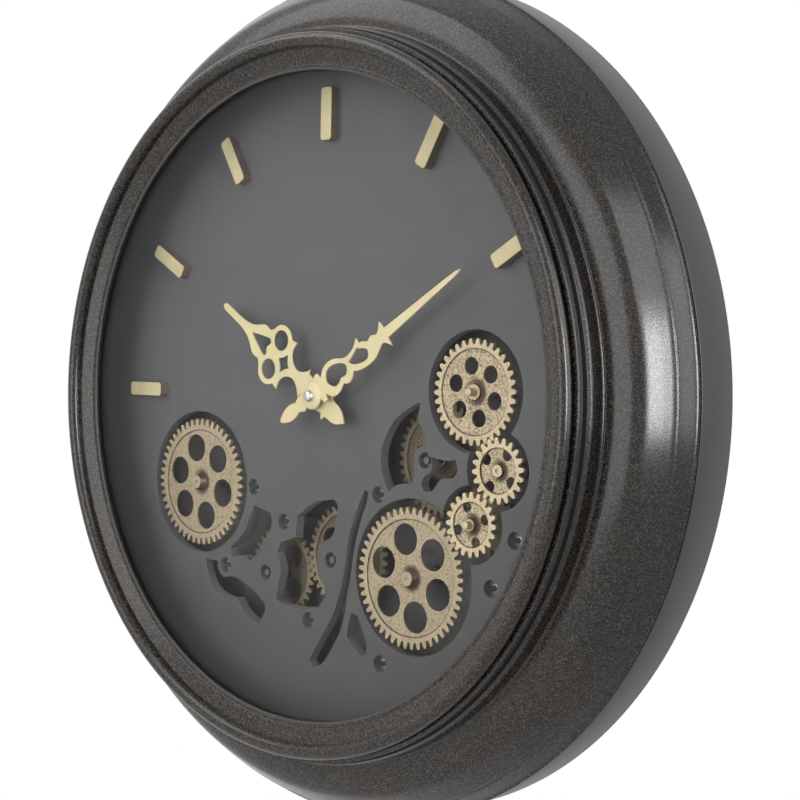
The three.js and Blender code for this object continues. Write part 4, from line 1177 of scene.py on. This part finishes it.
def bush_mesh():
    """The movement's bush, threaded where it stands in front of its nut"""
    front, bore, pitch_half = BUSH["front"], BUSH["bore"], BUSH["thread"]
    turns = round((DIAL_FRONT - NUT["thick"] - front) / (2 * pitch_half))
    thread = [(BUSH_RADIUS - pitch_half * (i % 2), front + 0.4 + pitch_half * i) for i in range(2 * turns)]
    plain = [(BUSH_RADIUS, DIAL_FRONT - 2.2), (BUSH_RADIUS, DIAL_BACK)]
    return spun([(bore, front), (3.6, front), *thread, *plain, (bore, DIAL_BACK)], steps=48)


def flange_mesh():
    half, top, bottom = (MOVEMENT[key] for key in ("half_width", "top", "bottom"))
    reach, overlap = FLANGE["reach"], FLANGE["overlap"]
    outline = round_box(-half - reach, half + reach, bottom - reach, top + reach, 4)
    window = round_box(overlap - half, half - overlap, bottom + overlap, top - overlap, 2)
    return sheet_piece(outline, [window], FLANGE["front"], FLANGE["back"], 0.3)


class CLOCK_OT_movement(PieceOperator, bpy.types.Operator):
    """Makes the movement with its bush, cell, nut and setting knob"""

    bl_idname = "clock.movement"
    bl_label = "Movement"

    def execute(self, context):
        black, brass, grey = finishes("black"), finishes("pin_brass"), finishes("grey")
        make_piece(movement_mesh(), "movement_housing", "case", black,
                   ["quartz_movement"])
        make_piece(flange_mesh(), "movement_flange", "case", black)
        make_piece(bush_mesh(), "movement_bush", "case", brass, sharp=15)
        add_cell("movement_cell", "movement_battery", 0, MOVEMENT_CELL["y"], MOVEMENT_CELL["z"])
        hexagon, bore = circle(NUT["radius"], steps=6), circle(BUSH_RADIUS + GAP)
        nut = sheet_piece(hexagon, [bore], DIAL_FRONT - NUT["thick"], DIAL_FRONT, 0.4)
        make_piece(nut, "fixing_nut_hex", "case", brass, ["fixing_nut"])
        stem, start, end = KNOB["stem"], MOVEMENT["back"] + GAP, KNOB["front"]
        rod = eased([(0, start), (stem, start), (stem, end), (0, end)], 0.2, closed=False)
        rod = spun(rod, closed=False, steps=24)
        make_piece(rod, "setting_stem", "setting_knob", grey)
        half_turn = 180 / KNOB["grooves"]
        grips = [polar(KNOB["grip" if i % 2 else "groove"], i * half_turn)
                 for i in range(2 * KNOB["grooves"])]
        knob = sheet_piece(grips, [], KNOB["back"], KNOB["front"], 0.3)
        make_piece(knob, "setting_knob_grip", "setting_knob", grey, ["setting_knob"])
        return {"FINISHED"}


# Mechanism plate with its pillars, bosses and window, and what is fastened to its back
PILLAR_RADIUS = 4
BOSS = {"radius": 5, "front": -24}
PILLAR_EASE = 0.3
WINDOW_ROOM = 1.5


def plate_mesh():
    """A disc with a window for the movement, a pillar for each dial screw and a boss for each arbor"""
    near = PLATE_FRONT
    half, top, bottom = (MOVEMENT[key] for key in ("half_width", "top", "bottom"))
    half, top, bottom = half + WINDOW_ROOM, top + WINDOW_ROOM, bottom - WINDOW_ROOM
    bm = bmesh.new()

    def rings(radius, places):
        return [loop_of(bm, circle(radius, place, 24), near) for place in places]

    outline = loop_of(bm, circle(PLATE_RADIUS, steps=256), near)
    window = loop_of(bm, round_box(-half, half, bottom, top, 3.5), near)
    pillars = rings(PILLAR_RADIUS, SCREWS)
    threads = rings(SCREW["shank"] + GAP, SCREWS)
    centres = [(wheel["x"], wheel["z"]) for wheel in WHEELS.values()]
    bosses = rings(BOSS["radius"], centres)
    bores = rings(ARBOR_RADIUS + GAP, centres)
    fill(bm, outline, window, *pillars, *bosses)
    pillar_tops = [fill(bm, *pair) for pair in zip(pillars, threads)]
    boss_tops = [fill(bm, *pair) for pair in zip(bosses, bores)]
    thicken(bm, near, LEDGE_FRONT)
    for tops, end in ((pillar_tops, DIAL_BACK), (boss_tops, BOSS["front"])):
        for faces in tops:
            step_in(bm, faces, PILLAR_EASE, near - end - PILLAR_EASE)
            ease_rim(bm, faces, PILLAR_EASE)
    return bm


class CLOCK_OT_plate(PieceOperator, bpy.types.Operator):
    """Cuts the mechanism plate with its pillars and bosses"""

    bl_idname = "clock.mechanism_plate"
    bl_label = "Mechanism plate"

    def execute(self, context):
        node = "mechanism_plate"
        make_piece(plate_mesh(), f"{node}_cut", "case", finishes("plate"), [node])
        return {"FINISHED"}


# What is screwed to the plate's back stands on feet of sheet that ends in the plane FOOT_BACK
FOOT_BACK = LEDGE_FRONT + 1.5
BACK_SCREW = {"head": 2.4, "height": 1.5, "shank": 1.2, "length": 1.6}


def add_back_screw(name, x, z):
    """A domed screw in a foot on the plate's back, with its head towards the wall"""
    bm = screw_mesh(**BACK_SCREW)
    turn(bm, 180, "Z")
    shift(bm, x, FOOT_BACK, z)
    make_piece(bm, name, "case", finishes("zinc"), sharp=50)


DRIVE = {"radius": 15, "back": -5.4, "ear": 17, "ear_radius": 5, "ease": 0.8, "screw": 18.5}


def drive_mesh():
    """A round drive housing on a foot with two ears, its back towards +Y"""
    radius, ear, ear_radius = DRIVE["radius"], DRIVE["ear"], DRIVE["ear_radius"]
    meet = math.degrees(math.asin(ear_radius / radius))
    outline = arc((ear, 0), ear_radius, -90, 90, 10) + arc((0, 0), radius, meet, 180 - meet, 24)
    outline += arc((-ear, 0), ear_radius, 90, 270, 10) + arc((0, 0), radius, 180 + meet, 360 - meet, 24)
    near = FOOT_BACK
    bm = bmesh.new()
    foot = loop_of(bm, outline, near)
    wall = loop_of(bm, circle(radius - 0.3, steps=48), near)
    fill(bm, foot, wall)
    top = fill(bm, wall)
    thicken(bm, near, LEDGE_FRONT)
    step_in(bm, top, 0.3, DRIVE["back"] - near - DRIVE["ease"])
    ease_rim(bm, top, DRIVE["ease"])
    step_in(bm, top, 3, 0)
    step_in(bm, top, 0.2, -0.5)
    return bm


class CLOCK_OT_drives(PieceOperator, bpy.types.Operator):
    """Makes the three drive units behind the plate, with their screws"""

    bl_idname = "clock.drives"
    bl_label = "Drive units"

    def execute(self, context):
        for name in DRIVEN_WHEELS:
            x, z = WHEELS[name]["x"], WHEELS[name]["z"]
            node = f"drive_{name}"
            bm = drive_mesh()
            shift(bm, x, 0, z)
            make_piece(bm, f"{node}_housing", "case", finishes("black"), [node])
            for label, side in (("left", -1), ("right", 1)):
                add_back_screw(f"{node}_screw_{label}", x + side * DRIVE["screw"], z)
        return {"FINISHED"}


# Box for the wheels' two cells, its slide switch and the door on a hinge along its top
POWER = {"x": -84, "z": 58, "half_length": 29, "half_height": 17.5, "wall": 1.5, "back": -2.6}
POWER_FLOOR = LEDGE_FRONT + 0.8
SWITCH = {"x": POWER["x"] + 36, "half_width": 2, "half_length": 2.5, "front": -5.6, "back": -1.4,
          "travel": 3.4}
HINGE = {"y": -2, "z": POWER["z"] + POWER["half_height"] + 1.9, "barrel": 1.3, "pin": 0.9, "ear": 2.7}
EAR = {"front": -6, "back": -0.6, "above": 1.8}
CELL_PITCH = 15.2


def power_box_mesh():
    """The box with its bay and the switch's slot"""
    x, z, half_length, half_height, wall = (POWER[key] for key in ("x", "z", "half_length", "half_height",
                                                                   "wall"))
    switch, half_width, half_lever = (SWITCH[key] for key in ("x", "half_width", "half_length"))
    left, right, bottom, top = x - half_length, x + half_length, z - half_height, z + half_height
    side, end = half_width + 0.4, half_lever + 0.5
    edge = 0.3
    near = POWER["back"] - edge
    bm = bmesh.new()
    outline = loop_of(bm, round_box(left, switch + 5, bottom, top, 1.5), near)
    bay = loop_of(bm, round_box(left + wall, right - wall, bottom + wall, top - wall, 1), near)
    slot = round_box(switch - side, switch + side, z - end, z + end + SWITCH["travel"], 0.5)
    slot = loop_of(bm, slot, near)
    deck = fill(bm, outline, bay, slot)
    bay_floor = fill(bm, bay)
    slot_floor = fill(bm, slot)
    thicken(bm, near, LEDGE_FRONT)
    step_in(bm, bay_floor, STRAIGHT, POWER_FLOOR - near)
    step_in(bm, slot_floor, STRAIGHT, SWITCH["front"] - near)
    ease_rim(bm, deck, edge)
    return bm


def hinge_ear_mesh(start):
    """One of the box's two ears, with the hole for the hinge's pin, from x = start onwards"""
    root, top = POWER["z"] + POWER["half_height"] - 1, HINGE["z"] + EAR["above"]
    front, back = EAR["front"], EAR["back"]
    outline = eased([(front, root), (back, root), (back, top), (front, top)], 1.2, steps=4)
    bm = bmesh.new()
    hole = circle(HINGE["pin"] + GAP, (HINGE["y"], HINGE["z"]), 16)
    fill(bm, loop_of(bm, outline, 0), loop_of(bm, hole, 0))
    thicken(bm, 0, -HINGE["ear"])
    turn(bm, 90, "Z")
    for vert in bm.verts:
        vert.co.x = start * MM + abs(vert.co.x)
    return bm


def rod_along_x(radius, x0, x1, y, z):
    profile = eased([(0, x0), (radius, x0), (radius, x1), (0, x1)], 0.2, closed=False)
    bm = spun(profile, closed=False, steps=24)
    turn(bm, -90, "Z")
    shift(bm, 0, y, z)
    return bm


class CLOCK_OT_power(PieceOperator, bpy.types.Operator):
    """Makes the box for the wheels' two cells, with its door and switch"""

    bl_idname = "clock.power"
    bl_label = "Power box"

    def execute(self, context):
        x, z, half_length, half_height = (POWER[key] for key in ("x", "z", "half_length", "half_height"))
        left, right = x - half_length, x + half_length
        black, zinc = finishes("black"), finishes("zinc")
        make_piece(power_box_mesh(), "power_box", "case", black, ["gear_battery_box"])
        depth = POWER_FLOOR + GAP + CELL["radius"]
        for number, side in enumerate((1, -1), 1):
            add_cell(f"power_cell_{number}", f"gear_battery_{number}", x, depth, z + side * CELL_PITCH / 2)
        for number, start in enumerate((left, right - HINGE["ear"]), 1):
            make_piece(hinge_ear_mesh(start), f"hinge_ear_{number}", "case", black)
        inner = half_length - HINGE["ear"] - GAP
        leaf = round_box(x - inner, x + inner, z - half_height + 0.5, HINGE["z"], 1)
        leaf = sheet_piece(leaf, [], HINGE["y"] + 0.9, HINGE["y"] - 0.3, 0.25)
        make_piece(leaf, "power_door", "battery_door", black, ["gear_battery_door"])
        barrel = rod_along_x(HINGE["barrel"], x - inner, x + inner, HINGE["y"], HINGE["z"])
        make_piece(barrel, "power_door_barrel", "battery_door", black)
        pin = rod_along_x(HINGE["pin"], left + 0.5, right - 0.5, HINGE["y"], HINGE["z"])
        make_piece(pin, "power_door_pin", "battery_door", zinc)
        switch, half_width, half_lever = (SWITCH[key] for key in ("x", "half_width", "half_length"))
        lever = round_box(switch - half_width, switch + half_width, z - half_lever, z + half_lever, 0.4)
        lever = sheet_piece(lever, [], SWITCH["back"], SWITCH["front"] + GAP, 0.25)
        make_piece(lever, "power_switch_lever", "switch", finishes("grey"),
                   ["gear_switch"])
        return {"FINISHED"}


HANGER_SCREWS = {"across": 26.6, "low": 163, "high": 183}


class CLOCK_OT_hanger(PieceOperator, bpy.types.Operator):
    """Gives the frame's hanger its finish and screws it to the plate"""

    bl_idname = "clock.hanger"
    bl_label = "Hanger"

    def execute(self, context):
        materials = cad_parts["hanger_plate"].data.materials
        materials.clear()
        materials.append(finish_named("zinc"))
        for label, side in (("left", -1), ("right", 1)):
            for level in ("low", "high"):
                name = f"hanger_screw_{label}_{level}"
                add_back_screw(name, side * HANGER_SCREWS["across"], HANGER_SCREWS[level])
        return {"FINISHED"}


# Stage
# Lamps: azimuth from the front towards +X, distance from the axis, height, width and length. A polish lamp
# only shows in the finishes and leaves the level of the light alone.
LAMPS = {
    "strip": {"azimuth": 70.5, "distance": 1300, "height": 120, "width": 230, "length": 520,
              "polish": True},
    "shoulder": {"azimuth": 66, "distance": 1150, "height": 640, "width": 600, "length": 620,
                 "polish": True},
    "rim": {"azimuth": 103, "distance": 1300, "height": 300, "width": 700, "length": 950, "polish": True},
    "top": {"azimuth": -40, "distance": 1260, "height": 1150, "width": 1100, "length": 1100,
            "polish": False},
    "front": {"azimuth": -9, "distance": 2200, "height": 250, "width": 1400, "length": 1400,
              "polish": False},
}
FLOOR_LEVEL = -600
FLOOR_SIZE = 12000
FLOOR_PAINT = (0.82, 0.82, 0.82, 1)
WHITE = (1, 1, 1, 1)

# The floor shows its paint and the clock's shadow up to the first distance from its middle, fades to white
# up to the second, and glows a little so that its lit part nears white too
SHADOW_REACH = (700, 1500)
SHADOW_FILL = 0.4


def room_shader(tree, output, inner, outer):
    """Shows the inner shader to matt surfaces and the outer one to the camera, gloss and glass"""
    path = tree.nodes.new("ShaderNodeLightPath")
    seen = path.outputs["Is Camera Ray"]
    for ray in ("Is Glossy Ray", "Is Transmission Ray"):
        either = tree.nodes.new("ShaderNodeMath")
        either.operation = "MAXIMUM"
        tree.links.new(seen, either.inputs[0])
        tree.links.new(path.outputs[ray], either.inputs[1])
        seen = either.outputs[0]
    mixed = tree.nodes.new("ShaderNodeMixShader")
    tree.links.new(seen, mixed.inputs[0])
    tree.links.new(inner, mixed.inputs[1])
    tree.links.new(outer, mixed.inputs[2])
    tree.links.new(mixed.outputs[0], output.inputs["Surface"])


def shadow_floor(tree, paint, glow):
    """White floor for the camera, which fades to lit paint with the clock's shadow near the clock"""
    coords = tree.nodes.new("ShaderNodeTexCoord")
    reach = tree.nodes.new("ShaderNodeVectorMath")
    reach.operation = "LENGTH"
    tree.links.new(coords.outputs["Object"], reach.inputs[0])
    near = tree.nodes.new("ShaderNodeMapRange")
    start, end = (distance * MM for distance in SHADOW_REACH)
    for socket, value in (("From Min", start), ("From Max", end), ("To Min", 1), ("To Max", 0)):
        near.inputs[socket].default_value = value
    tree.links.new(reach.outputs["Value"], near.inputs["Value"])
    fill_light = tree.nodes.new("ShaderNodeEmission")
    fill_light.inputs["Strength"].default_value = SHADOW_FILL
    lit = tree.nodes.new("ShaderNodeAddShader")
    tree.links.new(paint.outputs[0], lit.inputs[0])
    tree.links.new(fill_light.outputs[0], lit.inputs[1])
    mixed = tree.nodes.new("ShaderNodeMixShader")
    tree.links.new(near.outputs["Result"], mixed.inputs[0])
    tree.links.new(glow.outputs[0], mixed.inputs[1])
    tree.links.new(lit.outputs[0], mixed.inputs[2])
    return mixed.outputs[0]


def add_floor(scene):
    bm = bmesh.new()
    bmesh.ops.create_grid(bm, x_segments=1, y_segments=1, size=FLOOR_SIZE / 2 * MM)
    shift(bm, 0, 0, FLOOR_LEVEL)
    mesh = bpy.data.meshes.new("floor")
    bm.to_mesh(mesh)
    bm.free()
    floor = bpy.data.objects.new("floor", mesh)
    scene.collection.objects.link(floor)
    paint = bpy.data.materials.new("pale_floor")
    paint.use_nodes = True
    tree = paint.node_tree
    glow = tree.nodes.new("ShaderNodeEmission")
    shader = tree.nodes["Principled BSDF"]
    shader.inputs["Base Color"].default_value = FLOOR_PAINT
    shader.inputs["Roughness"].default_value = 0.9
    seen = shadow_floor(tree, shader, glow)
    room_shader(tree, tree.nodes["Material Output"], shader.outputs[0], seen)
    mesh.materials.append(paint)


def add_room(scene, strength):
    """A world that lights matt surfaces with the strength given and looks white"""
    world = bpy.data.worlds.new("white_room")
    world.use_nodes = True
    tree = world.node_tree
    dim = tree.nodes["Background"]
    dim.inputs["Strength"].default_value = strength
    dim.inputs["Color"].default_value = WHITE
    bright = tree.nodes.new("ShaderNodeBackground")
    bright.inputs["Color"].default_value = WHITE
    room_shader(tree, tree.nodes["World Output"], dim.outputs[0], bright.outputs[0])
    scene.world = world


def add_lamp(scene, name, power, azimuth, distance, height, width, length, polish):
    """A soft lamp that looks at the clock's centre"""
    lamp = bpy.data.lights.new(name, "AREA")
    lamp.energy = power
    lamp.shape = "RECTANGLE"
    lamp.size = width * MM
    lamp.size_y = length * MM
    holder = bpy.data.objects.new(name, lamp)
    angle = math.radians(azimuth)
    holder.location = Vector((distance * math.sin(angle), -distance * math.cos(angle), height)) * MM
    holder.rotation_mode = "QUATERNION"
    holder.rotation_quaternion = (-holder.location).to_track_quat("-Z", "Y")
    holder.visible_diffuse = not polish
    scene.collection.objects.link(holder)


def add_camera(scene):
    """The photograph's camera: it looks at the centre of the bezel's lip from the right"""
    yaw, pitch, roll = (math.radians(a) for a in (CAMERA_YAW, CAMERA_PITCH, CAMERA_ROLL))
    back = Vector((math.sin(yaw) * math.cos(pitch), -math.cos(yaw) * math.cos(pitch), math.sin(pitch)))
    level = Vector((math.cos(yaw), math.sin(yaw), 0))
    upright = back.cross(level)
    right = level * math.cos(roll) + upright * math.sin(roll)
    up = upright * math.cos(roll) - level * math.sin(roll)
    place = Vector((0, LIP_FRONT, 0)) + right * CAMERA_SHIFT_RIGHT + up * CAMERA_SHIFT_UP
    place += back * CAMERA_DISTANCE
    data = bpy.data.cameras.new("camera")
    data.sensor_width = SENSOR
    data.lens = FOCAL_PIXELS / IMAGE_PIXELS * SENSOR
    camera = bpy.data.objects.new("camera", data)
    camera.rotation_mode = "QUATERNION"
    camera.rotation_quaternion = Matrix((right, up, back)).transposed().to_quaternion()
    camera.location = place * MM
    data.clip_start, data.clip_end = 0.05, 50
    scene.collection.objects.link(camera)
    scene.camera = camera


class CLOCK_OT_stage(PieceOperator, bpy.types.Operator):
    """Sets the floor, the white room, the lamps and the camera"""

    bl_idname = "clock.stage"
    bl_label = "Stage"

    def execute(self, context):
        scene = context.scene
        lights = scene.clock_lights
        add_floor(scene)
        add_room(scene, lights.surround)
        for name, lamp in LAMPS.items():
            add_lamp(scene, f"{name}_light", getattr(lights, name), **lamp)
        add_camera(scene)
        scene.view_settings.view_transform = "Standard"
        return {"FINISHED"}


OPERATORS = (
    CLOCK_OT_stage, CLOCK_OT_case, CLOCK_OT_lens, CLOCK_OT_dial, CLOCK_OT_dial_screws, CLOCK_OT_markers,
    CLOCK_OT_wheels, CLOCK_OT_hands, CLOCK_OT_movement, CLOCK_OT_plate, CLOCK_OT_drives, CLOCK_OT_power,
    CLOCK_OT_hanger)
SETTINGS = {"clock_sizes": ClockSizes, "clock_colours": ClockColours, "clock_lights": ClockLights}


class VIEW3D_PT_gear_clock(bpy.types.Panel):
    """Lists the clock's settings and its pieces"""

    bl_label = "Gear Clock"
    bl_idname = "VIEW3D_PT_gear_clock"
    bl_space_type = "VIEW_3D"
    bl_region_type = "UI"
    bl_category = "Gear Clock"

    def draw(self, context):
        for name, group in SETTINGS.items():
            box = self.layout.box()
            for setting in group.__annotations__:
                box.prop(getattr(context.scene, name), setting)
        column = self.layout.column(align=True)
        for operator in OPERATORS:
            column.operator(operator.bl_idname)


def register():
    for group in SETTINGS.values():
        bpy.utils.register_class(group)
    for name, group in SETTINGS.items():
        setattr(bpy.types.Scene, name, PointerProperty(type=group))
    for operator in OPERATORS:
        bpy.utils.register_class(operator)
    bpy.utils.register_class(VIEW3D_PT_gear_clock)


def unregister():
    bpy.utils.unregister_class(VIEW3D_PT_gear_clock)
    for operator in reversed(OPERATORS):
        bpy.utils.unregister_class(operator)
    for name, group in SETTINGS.items():
        delattr(bpy.types.Scene, name)
        bpy.utils.unregister_class(group)


def main():
    register()
    for operator in OPERATORS:
        group, name = operator.bl_idname.split(".")
        if getattr(getattr(bpy.ops, group), name)() != {"FINISHED"}:
            raise RuntimeError(f"{operator.bl_label} wasn't made")


if __name__ == "__main__":
    main()
